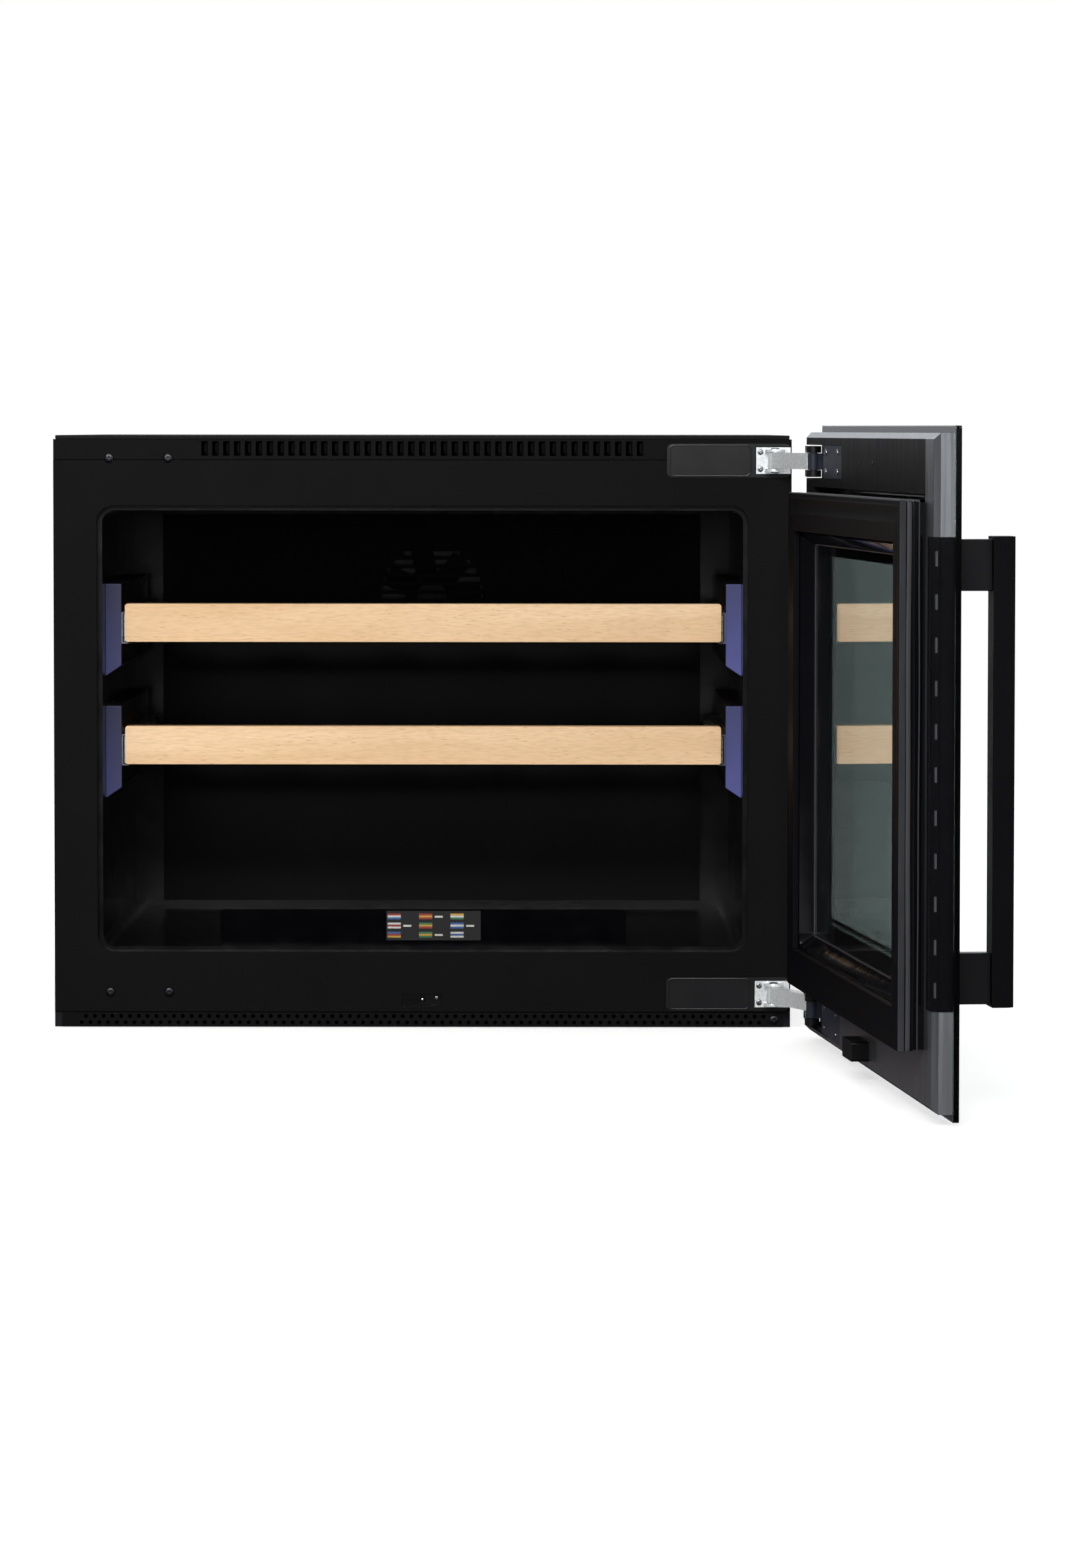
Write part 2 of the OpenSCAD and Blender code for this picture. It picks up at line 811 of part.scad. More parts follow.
// Two side rails and four cross slats, each with a row of bottle cradles.
module shelf_tray(z) {
    side_t = 14;
    side_low = 1.5;
    side_high = 13;
    slat_d = 22;
    slat_count = 4;
    cradle_depth = 6;
    tray_len = rail_len - 10;
    gap = (tray_len - slat_d) / (slat_count - 1);
    placed("#bf935c")
        translate([0, rail_y, z]) {
            both_sides()
                box([tray_half - side_t, 0, side_low], [tray_half, tray_len, side_high]);
            difference() {
                for (i = [0:slat_count - 1])
                    translate([0, i * gap, 0])
                        box([-tray_half + side_t - eps, 0, side_low],
                            [tray_half - side_t + eps, slat_d, side_high]);
                for (i = [0:bottle_count - 1])
                    translate([(i - (bottle_count - 1) / 2) * bottle_pitch, 0,
                               side_high - cradle_depth + bottle_d / 2])
                        rod_y(bottle_d / 2, -1, tray_len + 1);
            }
        }
}

// ---- Air duct and its fan ----

// Half the length of a slot across the fan's circle, at a height above the fan's axis.
function slot_half(rise) = sqrt(pow(duct_fan_r, 2) - pow(rise, 2));

// A shallow box on the cavity's rear wall, slotted in front of the fan and open at its lower edge.
module duct_cover() {
    side_gap = 24;
    end_gap = 8;
    duct_half = cav_half - side_gap;
    duct_low = cav_floor + end_gap;
    duct_high = cav_ceil - end_gap;
    face_t = 1.5;
    face_y = cav_d - duct_d;
    slot_rows = 5;
    slot_pitch = 7;
    slot_h = 4;
    placed("#131416")
        difference() {
            box([-duct_half, face_y, duct_low], [duct_half, cav_d, duct_high]);
            box([-duct_half + face_t, face_y + face_t, duct_low - 1],
                [duct_half - face_t, cav_d + 1, duct_high - face_t]);
            for (i = [-slot_rows:slot_rows])
                translate([0, 0, duct_fan_z + i * slot_pitch])
                    box([-slot_half(i * slot_pitch), face_y - 1, -slot_h / 2],
                        [slot_half(i * slot_pitch), face_y + face_t + 1, slot_h / 2]);
        }
}

module duct_fan_motor() {
    placed("#2b2c2e")
        translate([0, 0, duct_fan_z]) {
            rod_y(15, cav_d - 5, cav_d);
            rod_y(shaft_r, cav_d - duct_d + 3, cav_d - 5 + eps);
        }
}

// A hub with flat blades set at a pitch, turning about Z before it is put on its shaft.
module rotor(r, hub_r, height, blades, pitch) {
    difference() {
        union() {
            cylinder(r = hub_r, h = height);
            intersection() {
                for (i = [0:blades - 1])
                    rotate([0, 0, i * 360 / blades])
                        translate([0, 0, height / 2])
                            rotate([pitch, 0, 0])
                                translate([hub_r - 1, -9, -0.6])
                                    cube([r - hub_r + 2, 18, 1.2]);
                cylinder(r = r, h = height);
            }
        }
        translate([0, 0, -1])
            cylinder(r = shaft_r + pin_clear, h = height + 2);
    }
}

module duct_fan_rotor() {
    placed("#303234")
        translate([0, cav_d - 5.5, duct_fan_z])
            rotate([90, 0, 0])
                rotor(duct_fan_r - 2, 12, 8, 7, 22);
}

// ---- Machine space ----

module compressor() {
    body_r = 46;
    body_h = 96;
    foot_z = 1.5;
    dome = 16;
    placed("#101112")
        translate([-170, machine_mid_y, foot_z]) {
            box([-64, -42, 0], [64, 42, 3]);
            translate([0, 0, 3 - eps])
                cylinder(r = body_r, h = body_h);
            translate([0, 0, 3 + body_h - 2 * eps])
                cylinder(r1 = body_r, r2 = body_r - dome, h = dome);
            translate([body_r - 1, -12, 36])
                cube([16, 24, 34]);
        }
}

module condenser() {
    fin_count = 16;
    fin_gap = 8;
    width = 84;
    height = 104;
    tube_zs = [14, 40, 66, 92];
    placed("#3a3d40")
        translate([60, machine_mid_y, 1.5]) {
            for (i = [0:fin_count - 1])
                translate([i * fin_gap, 0, 0])
                    box([0, -width / 2, 0], [0.8, width / 2, height]);
            for (z = tube_zs, y = [-22, 22])
                translate([0, y, z])
                    rod_x(4, -6, (fin_count - 1) * fin_gap + 7);
        }
}

module machine_fan_frame() {
    size = 96;
    depth = 22;
    wall = 3;
    placed("#1d1e20")
        translate([machine_fan_x, machine_mid_y, machine_fan_z]) {
            difference() {
                box([0, -size / 2, -machine_fan_z + 1.5], [depth, size / 2, size / 2]);
                rod_x(machine_fan_r + 1.5, -1, depth + 1);
            }
            for (a = [0, 90])
                rotate([a, 0, 0])
                    box([0, -machine_fan_r - 3, -3], [wall, machine_fan_r + 3, 3]);
            rod_x(14, 0, 8);
            rod_x(shaft_r, 0, depth - 1);
        }
}

module machine_fan_rotor() {
    placed("#2c2e31")
        translate([machine_fan_x + 8.5, machine_mid_y, machine_fan_z])
            rotate([0, 90, 0])
                rotor(machine_fan_r - 1, 13, 12, 5, 30);
}

module power_inlet() {
    body_d = 16;
    flange_lap = 3.2;
    flange_t = 3;
    wall = 1.8;
    socket_d = 14;
    placed("#0d0e0f")
        difference() {
            union() {
                inlet_block(inlet_half_w, inlet_half_h, rear_y - body_d, cab_d);
                inlet_block(inlet_half_w + flange_lap, inlet_half_h + flange_lap, rear_y - flange_t, rear_y);
            }
            inlet_block(inlet_half_w - wall, inlet_half_h - wall, cab_d - socket_d, cab_d + 1);
        }
}

// A block about the inlet's axis.
module inlet_block(half_x, half_z, y_low, y_high) {
    box([inlet_x - half_x, y_low, inlet_z - half_z], [inlet_x + half_x, y_high, inlet_z + half_z]);
}

outer_shell();
top_cover();
vent_strip();
front_frame();
cavity_liner();
insulation();
back_panel();
base_pan();
base_grille();
sill_plate();
hinge_cover(hinge_zs[1]);  // hinge_cover_upper
hinge_cover(hinge_zs[0]);  // hinge_cover_lower
hinge_bracket(hinge_zs[1]);  // hinge_bracket_upper
hinge_bracket(hinge_zs[0]);  // hinge_bracket_lower
door_sensor();
mirrored_left() light_panel(shelf_zs[1]);  // light_panel_upper_left
light_panel(shelf_zs[1]);  // light_panel_upper_right
mirrored_left() light_panel(shelf_zs[0]);  // light_panel_lower_left
light_panel(shelf_zs[0]);  // light_panel_lower_right
mirrored_left() rail_outer(shelf_zs[1]);  // rail_outer_upper_left
rail_outer(shelf_zs[1]);  // rail_outer_upper_right
mirrored_left() rail_outer(shelf_zs[0]);  // rail_outer_lower_left
rail_outer(shelf_zs[0]);  // rail_outer_lower_right
duct_cover();
duct_fan_motor();
duct_fan_rotor();
compressor();
condenser();
machine_fan_frame();
machine_fan_rotor();
power_inlet();
hinge_arm(hinge_zs[1]);  // hinge_arm_upper
hinge_arm(hinge_zs[0]);  // hinge_arm_lower
hinge_link(hinge_zs[1]);  // hinge_link_upper
hinge_link(hinge_zs[0]);  // hinge_link_lower
glass_panel();
door_frame();
window_pane();
door_liner();
door_gasket();
handle_bar();
handle_post(handle_high - post_h - 2);  // handle_post_upper
handle_post(handle_low + 2);  // handle_post_lower
edge_trim();
sensor_magnet();
door_hinge(hinge_zs[1]);  // door_hinge_upper
door_hinge(hinge_zs[0]);  // door_hinge_lower
mirrored_left() rail_middle(shelf_zs[1]);  // rail_middle_upper_left
rail_middle(shelf_zs[1]);  // rail_middle_upper_right
mirrored_left() rail_middle(shelf_zs[0]);  // rail_middle_lower_left
rail_middle(shelf_zs[0]);  // rail_middle_lower_right
shelf_front(shelf_zs[1]);  // shelf_front_upper
shelf_tray(shelf_zs[1]);  // shelf_tray_upper
mirrored_left() rail_inner(shelf_zs[1]);  // rail_inner_upper_left
rail_inner(shelf_zs[1]);  // rail_inner_upper_right
shelf_front(shelf_zs[0]);  // shelf_front_lower
shelf_tray(shelf_zs[0]);  // shelf_tray_lower
mirrored_left() rail_inner(shelf_zs[0]);  // rail_inner_lower_left
rail_inner(shelf_zs[0]);  // rail_inner_lower_right
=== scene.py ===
import math

import bmesh
import bpy
import numpy as np
from mathutils import Matrix, Vector


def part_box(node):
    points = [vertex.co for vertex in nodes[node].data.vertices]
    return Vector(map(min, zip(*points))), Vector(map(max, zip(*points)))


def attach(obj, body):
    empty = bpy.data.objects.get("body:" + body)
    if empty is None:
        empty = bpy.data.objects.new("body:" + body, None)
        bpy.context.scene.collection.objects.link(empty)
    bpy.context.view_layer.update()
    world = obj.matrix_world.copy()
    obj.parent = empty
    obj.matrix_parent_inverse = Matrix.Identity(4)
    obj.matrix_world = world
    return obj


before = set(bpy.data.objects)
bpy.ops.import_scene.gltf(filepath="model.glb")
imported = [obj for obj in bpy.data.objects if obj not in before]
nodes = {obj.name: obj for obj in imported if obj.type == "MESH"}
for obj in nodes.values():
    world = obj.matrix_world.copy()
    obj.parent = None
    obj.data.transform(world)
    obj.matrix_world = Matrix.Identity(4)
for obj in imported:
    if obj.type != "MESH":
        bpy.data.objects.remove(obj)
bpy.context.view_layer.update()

MM = 0.001
CABINET = "cabinet"
DOOR = "door"


# ---------------------------------------------------------------- places

def node_points(name):
    mesh = nodes[name].data
    points = np.empty(len(mesh.vertices) * 3)
    mesh.vertices.foreach_get("co", points)
    return points.reshape(-1, 3)


def door_axes():
    """The door's own frame: along its width, away from the glass toward the cabinet, and up."""
    points = node_points("glass_panel")
    flat = points[:, :2] - points[:, :2].mean(0)
    values, vectors = np.linalg.eigh(flat.T @ flat)
    along = vectors[:, int(np.argmax(values))]
    if along[1] < 0:
        along = -along
    across = np.array([-along[1], along[0]])
    u, v = points[:, :2] @ along, points[:, :2] @ across
    origin = along * (u.min() + u.max()) / 2 + across * v.max()
    return Matrix((
        (along[0], across[0], 0, origin[0]),
        (along[1], across[1], 0, origin[1]),
        (0, 0, 1, 0),
        (0, 0, 0, 1),
    ))


DOOR_FRAME = door_axes()
DOOR_FRAME_BACK = np.array(DOOR_FRAME.inverted())
DOOR_TURN = math.atan2(DOOR_FRAME[1][0], DOOR_FRAME[0][0])


def in_door(name):
    points = node_points(name)
    return points @ DOOR_FRAME_BACK[:3, :3].T + DOOR_FRAME_BACK[:3, 3]


def door_box(name):
    points = in_door(name)
    return points.min(0), points.max(0)


# ---------------------------------------------------------------- materials

def linear(r, g, b):
    def one(c):
        c /= 255
        return c / 12.92 if c <= 0.04045 else ((c + 0.055) / 1.055) ** 2.4
    return one(r), one(g), one(b), 1.0


def scaled(color, factor):
    return [c * factor for c in color[:3]] + [1.0]


class Surface:
    """A procedural material built on one Principled shader."""

    def __init__(self, name, color, rough, metallic=0.0, door=False, **values):
        self.mat = bpy.data.materials.new(name)
        self.mat.use_nodes = True
        self.nodes = self.mat.node_tree.nodes
        self.links = self.mat.node_tree.links
        self.bsdf = self.nodes["Principled BSDF"]
        self.bsdf.inputs["Base Color"].default_value = color
        self.bsdf.inputs["Roughness"].default_value = rough
        self.bsdf.inputs["Metallic"].default_value = metallic
        for key, value in values.items():
            self.bsdf.inputs[key.replace("_", " ")].default_value = value
        place = self.nodes.new("ShaderNodeTexCoord")
        self.coord = place.outputs["Object"]
        if door:
            turn = self.nodes.new("ShaderNodeMapping")
            turn.inputs["Rotation"].default_value = (0, 0, -DOOR_TURN)
            self.links.new(self.coord, turn.inputs["Vector"])
            self.coord = turn.outputs["Vector"]
        self.bumped = None

    def stretch(self, scale):
        node = self.nodes.new("ShaderNodeMapping")
        node.inputs["Scale"].default_value = scale
        self.links.new(self.coord, node.inputs["Vector"])
        return node.outputs["Vector"]

    def noise(self, scale, detail, stretch=None, distortion=0.0):
        node = self.nodes.new("ShaderNodeTexNoise")
        node.inputs["Scale"].default_value = scale
        node.inputs["Detail"].default_value = detail
        node.inputs["Roughness"].default_value = 0.55
        node.inputs["Distortion"].default_value = distortion
        self.links.new(self.stretch(stretch) if stretch else self.coord, node.inputs["Vector"])
        return node.outputs["Fac"]

    def cells(self, scale, stretch=None):
        node = self.nodes.new("ShaderNodeTexVoronoi")
        node.inputs["Scale"].default_value = scale
        self.links.new(self.stretch(stretch) if stretch else self.coord, node.inputs["Vector"])
        return node.outputs["Distance"]

    def ramp(self, fac, low, high, color_low, color_high):
        node = self.nodes.new("ShaderNodeValToRGB")
        node.color_ramp.elements[0].position = low
        node.color_ramp.elements[1].position = high
        node.color_ramp.elements[0].color = color_low
        node.color_ramp.elements[1].color = color_high
        self.links.new(fac, node.inputs["Fac"])
        return node.outputs["Color"]

    def mix(self, fac, a, b):
        node = self.nodes.new("ShaderNodeMix")
        node.data_type = "RGBA"
        for value, port in ((fac, node.inputs[0]), (a, node.inputs[6]), (b, node.inputs[7])):
            if isinstance(value, bpy.types.NodeSocket):
                self.links.new(value, port)
            else:
                port.default_value = value
        return node.outputs[2]

    def span(self, fac, from_low, from_high, to_low, to_high):
        node = self.nodes.new("ShaderNodeMapRange")
        for key, value in (("From Min", from_low), ("From Max", from_high),
                           ("To Min", to_low), ("To Max", to_high)):
            node.inputs[key].default_value = value
        self.links.new(fac, node.inputs["Value"])
        return node.outputs["Result"]

    def axis(self, index):
        node = self.nodes.new("ShaderNodeSeparateXYZ")
        self.links.new(self.coord, node.inputs[0])
        return node.outputs[index]

    def math(self, operation, a, b):
        node = self.nodes.new("ShaderNodeMath")
        node.operation = operation
        self.links.new(a, node.inputs[0])
        self.links.new(b, node.inputs[1])
        return node.outputs[0]

    def above(self, index, value):
        """1 where the coordinate is above the value, 0 below it, with a narrow soft edge."""
        return self.span(self.axis(index), value - 0.1 * MM, value + 0.1 * MM, 0, 1)

    def below(self, index, value):
        return self.span(self.axis(index), value - 0.1 * MM, value + 0.1 * MM, 1, 0)

    def into(self, name, value):
        self.links.new(value, self.bsdf.inputs[name])
        return self

    def bump(self, height, distance):
        node = self.nodes.new("ShaderNodeBump")
        node.inputs["Distance"].default_value = distance
        node.inputs["Strength"].default_value = 1.0
        self.links.new(height, node.inputs["Height"])
        if self.bumped:
            self.links.new(self.bumped, node.inputs["Normal"])
        self.bumped = node.outputs["Normal"]
        self.links.new(self.bumped, self.bsdf.inputs["Normal"])
        return self


def powder_black(name, color, rough, grain=1400, depth=0.00002, door=False, specular=0.35):
    """Powder-coated or textured black: fine grain, soft cloudy changes of tone and gloss."""
    s = Surface(name, color, rough, door=door, Specular_IOR_Level=specular)
    tone = scaled(color, 1.2)
    s.into("Base Color", s.mix(s.span(s.noise(14, 4), 0.35, 0.7, 0, 1), color, tone))
    s.into("Roughness", s.span(s.noise(30, 5), 0.3, 0.7, rough - 0.025, rough + 0.025))
    s.bump(s.noise(grain, 2), depth)
    return s.mat


def gloss_black(name, color, rough, wave=18, depth=0.0003, door=False, specular=0.5):
    """Moulded glossy black: slow waviness, faint haze."""
    s = Surface(name, color, rough, door=door, Specular_IOR_Level=specular)
    s.into("Base Color", s.mix(s.span(s.noise(9, 3), 0.3, 0.7, 0, 1), color, scaled(color, 1.5)))
    s.into("Roughness", s.span(s.noise(60, 4), 0.3, 0.75, rough * 0.75, rough * 1.35))
    s.bump(s.noise(wave, 2), depth)
    return s.mat


def brushed(name, color, rough, stretch, streak):
    """Metal brushed along the axis whose stretch is small."""
    s = Surface(name, color, rough, metallic=1.0)
    lines = s.noise(streak, 4, stretch)
    dark = scaled(color, 0.82)
    s.into("Base Color", s.mix(s.span(lines, 0.3, 0.7, 0, 1), dark, color))
    s.into("Roughness", s.span(s.noise(streak * 0.6, 3, stretch), 0.3, 0.7, rough - 0.07, rough + 0.09))
    s.bump(lines, 0.00001)
    return s.mat


def beech(name, grain_axis):
    """Oiled beech: pale pink-brown, short dark flecks along the grain, slow bands across it."""
    along = [1.0, 1.0, 1.0]
    s = Surface(name, linear(222, 186, 143), 0.48, Specular_IOR_Level=0.35)
    along[grain_axis] = 0.09
    bands = s.noise(34, 4, along, 0.6)
    base = s.ramp(bands, 0.3, 0.72, linear(214, 176, 132), linear(233, 200, 160))
    fine = [1.0, 1.0, 1.0]
    fine[grain_axis] = 0.12
    pores = s.noise(900, 3, fine)
    base = s.mix(s.span(pores, 0.42, 0.66, 0.0, 0.3), base, linear(186, 144, 100))
    flecks = [1.0, 1.0, 1.0]
    flecks[grain_axis] = 0.22
    spots = s.cells(330, flecks)
    base = s.mix(s.span(spots, 0.0, 0.2, 0.5, 0.0), base, linear(160, 116, 76))
    s.into("Base Color", base)
    s.into("Roughness", s.span(pores, 0.3, 0.7, 0.42, 0.56))
    s.bump(pores, 0.00004)
    return s.mat


M = {}
M["frame_black"] = powder_black("frame_black", linear(12, 11, 12), 0.5, specular=0.06)
M["shell_black"] = powder_black("shell_black", linear(14, 14, 15), 0.5, grain=1000, specular=0.12)
M["cover_black"] = powder_black("cover_black", linear(14, 14, 15), 0.46, grain=1100, specular=0.1)
M["grille_black"] = powder_black("grille_black", linear(9, 8, 9), 0.46, specular=0.08)
M["rear_black"] = powder_black("rear_black", linear(30, 30, 32), 0.5, grain=700)
M["pan_grey"] = brushed("pan_grey", linear(44, 45, 47), 0.5, (0.03, 1, 1), streak=500)
M["liner_black"] = gloss_black("liner_black", linear(9, 9, 11), 0.2)
M["duct_black"] = powder_black("duct_black", linear(6, 6, 8), 0.4, grain=1200, specular=0.12)
M["hinge_cover"] = powder_black("hinge_cover", linear(14, 15, 17), 0.3, grain=1500, specular=0.45)
M["sensor_black"] = gloss_black("sensor_black", linear(8, 8, 9), 0.18)
M["foam"] = powder_black("foam", linear(208, 196, 150), 0.8, grain=500, depth=0.0004)
M["wood_x"] = beech("wood_x", 0)
M["wood_y"] = beech("wood_y", 1)
M["rail_steel"] = brushed("rail_steel", linear(188, 190, 194), 0.3, (1, 0.03, 1), streak=800)
M["rail_dark"] = brushed("rail_dark", linear(128, 130, 136), 0.34, (1, 0.03, 1), streak=800)
M["motor"] = powder_black("motor", linear(28, 28, 30), 0.4)
M["rotor"] = powder_black("rotor", linear(34, 35, 38), 0.45)
M["compressor"] = powder_black("compressor", linear(16, 16, 18), 0.28, grain=600, depth=0.00004)
M["fins"] = brushed("fins", linear(150, 152, 155), 0.4, (1, 1, 0.05), streak=700)
M["inlet"] = powder_black("inlet", linear(14, 14, 15), 0.38, grain=900)
# A pale copy of the gasket rubber: a painted highlight on the first and third gasket folds.
M["gasket_pale"] = powder_black("gasket_pale", linear(52, 52, 56), 0.5, grain=500, depth=0.00003, door=True)
# Pale: a painted highlight line for the bead at the foot of the window wall.
M["bead"] = powder_black("bead", linear(58, 58, 64), 0.4, grain=900, door=True)
M["door_liner"] = gloss_black("door_liner", linear(5, 5, 8), 0.07, door=True)
M["handle"] = powder_black("handle", linear(5, 4, 6), 0.36, grain=1600, depth=0.00001, door=True,
                           specular=0.13)
M["post"] = powder_black("post", linear(8, 9, 12), 0.3, grain=1600, depth=0.00001, door=True, specular=0.4)
M["trim"] = gloss_black("trim", linear(8, 8, 11), 0.13, door=True, specular=0.35)
M["magnet"] = powder_black("magnet", linear(11, 9, 9), 0.4, door=True, specular=0.2)
M["door_hinge"] = powder_black("door_hinge", linear(40, 44, 56), 0.34, grain=900, door=True)
M["sill"] = gloss_black("sill", linear(2, 2, 4), 0.2, specular=0.1)
M["link_black"] = powder_black("link_black", linear(16, 16, 20), 0.36, grain=800)


def galvanised(name):
    s = Surface(name, linear(232, 236, 238), 0.42, 0.5)
    spangle = s.cells(420)
    s.into("Base Color", s.mix(s.span(spangle, 0.1, 0.7, 0, 1), linear(226, 231, 234), linear(246, 249, 250)))
    s.into("Roughness", s.span(s.noise(520, 5), 0.3, 0.7, 0.28, 0.4))
    s.bump(s.noise(900, 4), 0.00005)
    return s.mat


M["galvanised"] = galvanised("galvanised")


FRAME_JOINT = 38 * MM  # how far in from the door frame's free edge its members meet


def framed(name, color, face, low, high):
    """Brushed aluminium: dark paint on the top member's flat face, and in the pockets for the hinges."""
    s = Surface(name, color, 0.36, door=True)
    lines = s.noise(900, 3, (1, 1, 0.03))
    edge, pocket = 5 * MM, 118 * MM
    face_paint = s.math("MULTIPLY", s.above(1, high.y - 0.25 * MM), s.above(0, low.x + FRAME_JOINT))
    face_paint = s.math("MULTIPLY", face_paint, s.above(2, (low.z + high.z) / 2))
    pocket_paint = s.math("MULTIPLY", s.above(2, low.z + edge), s.below(2, high.z - edge))
    pocket_paint = s.math("MULTIPLY", pocket_paint, s.above(0, high.x - pocket))
    paint = s.math("MAXIMUM", face_paint, pocket_paint)
    metal = s.mix(s.span(lines, 0.3, 0.7, 0, 1), scaled(color, 0.86), color)
    s.into("Base Color", s.mix(paint, metal, face))
    s.into("Metallic", s.span(paint, 0, 1, 1, 0))
    s.into("Roughness", s.span(s.noise(300, 3, (1, 1, 0.03)), 0.3, 0.7, 0.32, 0.46))
    s.into("Specular IOR Level", s.span(paint, 0, 1, 0.5, 0.12))
    s.bump(lines, 0.000004)
    return s.mat


def door_corners(name):
    """The two corners of a door node's box, as the door's turned material coordinates have them."""
    shift = Matrix.Rotation(-DOOR_TURN, 4, "Z") @ DOOR_FRAME.translation
    return tuple(shift + Vector(corner) for corner in door_box(name))


M["frame_alu"] = framed("frame_alu", linear(176, 180, 185), linear(13, 12, 14), *door_corners("door_frame"))


def rubber(name, color, pale, low, high):
    """Dark gasket rubber whose side walls, at the free side and the top, are painted pale and mottled: a
    painted highlight.
    """
    s = Surface(name, color, 0.55, door=True, Specular_IOR_Level=0.08)
    wall = s.math("MAXIMUM", s.below(0, low.x + 0.5 * MM), s.above(2, high.z - 0.5 * MM))
    # The pale, mottled colour of the side walls is a painted highlight.
    painted_highlight = s.mix(s.span(s.noise(120, 4, (1, 1, 0.2)), 0.3, 0.7, 0, 1), pale, scaled(pale, 0.7))
    s.into("Base Color", s.mix(wall, color, painted_highlight))
    s.bump(s.noise(500, 2), 0.000008)
    return s.mat


M["gasket"] = rubber("gasket", linear(7, 7, 12), linear(52, 53, 57), *door_corners("door_gasket"))


def lit_panel(name, low, high, dim, bright):
    """A black moulding whose front face is a milky diffuser, brighter toward its lower end."""
    s = Surface(name, linear(13, 13, 17), 0.4, Specular_IOR_Level=0.3)
    rise = s.span(s.axis(2), low, high, 1.0, 0.0)
    glow = s.ramp(rise, 0.0, 1.0, dim, bright)
    glow = s.mix(s.span(s.noise(40, 3), 0.3, 0.7, 0.0, 0.2), glow, dim)
    s.into("Emission Color", glow)
    shape = s.nodes.new("ShaderNodeNewGeometry")
    apart = s.nodes.new("ShaderNodeSeparateXYZ")
    s.links.new(shape.outputs["True Normal"], apart.inputs[0])
    s.into("Emission Strength", s.span(apart.outputs[1], -0.95, -0.5, 1.0, 0.0))
    s.bump(s.noise(700, 2), 0.00002)
    return s.mat


def clear_glass(name, tint):
    s = Surface(name, tint, 0.0, door=True, Transmission_Weight=1.0, IOR=1.5)
    s.into("Roughness", s.span(s.noise(12, 4), 0.45, 0.75, 0.0, 0.004))
    return s.mat


M["glass"] = clear_glass("glass", linear(178, 192, 190))
M["pane"] = clear_glass("pane", linear(216, 224, 222))
M["print_black"] = gloss_black("print_black", linear(7, 8, 9), 0.08, wave=4, depth=0.00005, door=True)
M["screw_nickel"] = brushed("screw_nickel", linear(168, 170, 176), 0.26, (1, 1, 1), streak=1200)
M["screw_black"] = powder_black("screw_black", linear(30, 29, 31), 0.3, grain=900)
M["screw_dark"] = brushed("screw_dark", linear(64, 64, 68), 0.3, (1, 1, 1), streak=1200)


def give(node, material):
    o = nodes[node]
    if not o.material_slots:
        o.data.materials.append(M[material])
    for entry in o.material_slots:
        entry.material = M[material]


FINISH = {
    "outer_shell": "shell_black", "top_cover": "cover_black", "vent_strip": "frame_black",
    "front_frame": "frame_black", "cavity_liner": "liner_black", "insulation": "foam",
    "back_panel": "rear_black", "base_pan": "pan_grey", "base_grille": "grille_black",
    "sill_plate": "sill", "hinge_cover_upper": "hinge_cover", "hinge_cover_lower": "hinge_cover",
    "hinge_bracket_upper": "galvanised", "hinge_bracket_lower": "galvanised", "door_sensor": "sensor_black",
    "duct_cover": "duct_black", "duct_fan_motor": "motor", "duct_fan_rotor": "rotor",
    "compressor": "compressor", "condenser": "fins", "machine_fan_frame": "motor",
    "machine_fan_rotor": "rotor", "power_inlet": "inlet", "hinge_arm_upper": "galvanised",
    "hinge_arm_lower": "galvanised", "hinge_link_upper": "link_black", "hinge_link_lower": "link_black",
    "glass_panel": "glass", "door_frame": "frame_alu", "window_pane": "pane", "door_liner": "door_liner",
    "door_gasket": "gasket", "handle_bar": "handle", "handle_post_upper": "post",
    "handle_post_lower": "post", "edge_trim": "trim", "sensor_magnet": "magnet",
    "door_hinge_upper": "door_hinge", "door_hinge_lower": "door_hinge",
}
for level in ("upper", "lower"):
    FINISH["shelf_front_" + level] = "wood_x"
    FINISH["shelf_tray_" + level] = "wood_y"
    for side in ("left", "right"):
        panel = "light_panel_%s_%s" % (level, side)
        low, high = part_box(panel)
        tones = ((40, 41, 64), (58, 60, 100)) if side == "left" else ((58, 61, 100), (80, 84, 142))
        M[panel] = lit_panel(panel + "_glow", low.z, high.z, *(linear(*tone) for tone in tones))
        FINISH[panel] = panel
        FINISH["rail_outer_%s_%s" % (level, side)] = "rail_dark"
        FINISH["rail_middle_%s_%s" % (level, side)] = "rail_steel"
        FINISH["rail_inner_%s_%s" % (level, side)] = "rail_steel"
for node, material in FINISH.items():
    give(node, material)


# ---------------------------------------------------------------- rounded edges of the CAD nodes

def soften(node, width):
    o = nodes[node]
    weld = o.modifiers.new("weld", "WELD")
    weld.merge_threshold = 0.00001
    bevel = o.modifiers.new("soft_edges", "BEVEL")
    bevel.width = width
    bevel.segments = 2
    bevel.limit_method = "ANGLE"
    bevel.angle_limit = math.radians(35)
    bevel.harden_normals = True
    bevel.use_clamp_overlap = True


for node, width in (
    ("front_frame", 0.6), ("top_cover", 0.5), ("hinge_cover_upper", 0.5), ("hinge_cover_lower", 0.5),
    ("shelf_front_upper", 0.9), ("shelf_front_lower", 0.9), ("handle_bar", 0.5),
    ("handle_post_upper", 0.6), ("handle_post_lower", 0.6), ("glass_panel", 0.3), ("sill_plate", 0.4),
    ("sensor_magnet", 0.6), ("hinge_bracket_upper", 0.25), ("hinge_bracket_lower", 0.25),
    ("light_panel_upper_left", 0.8), ("light_panel_upper_right", 0.8),
    ("light_panel_lower_left", 0.8), ("light_panel_lower_right", 0.8), ("door_gasket", 0.8),
):
    soften(node, width * MM)


# ---------------------------------------------------------------- building pieces

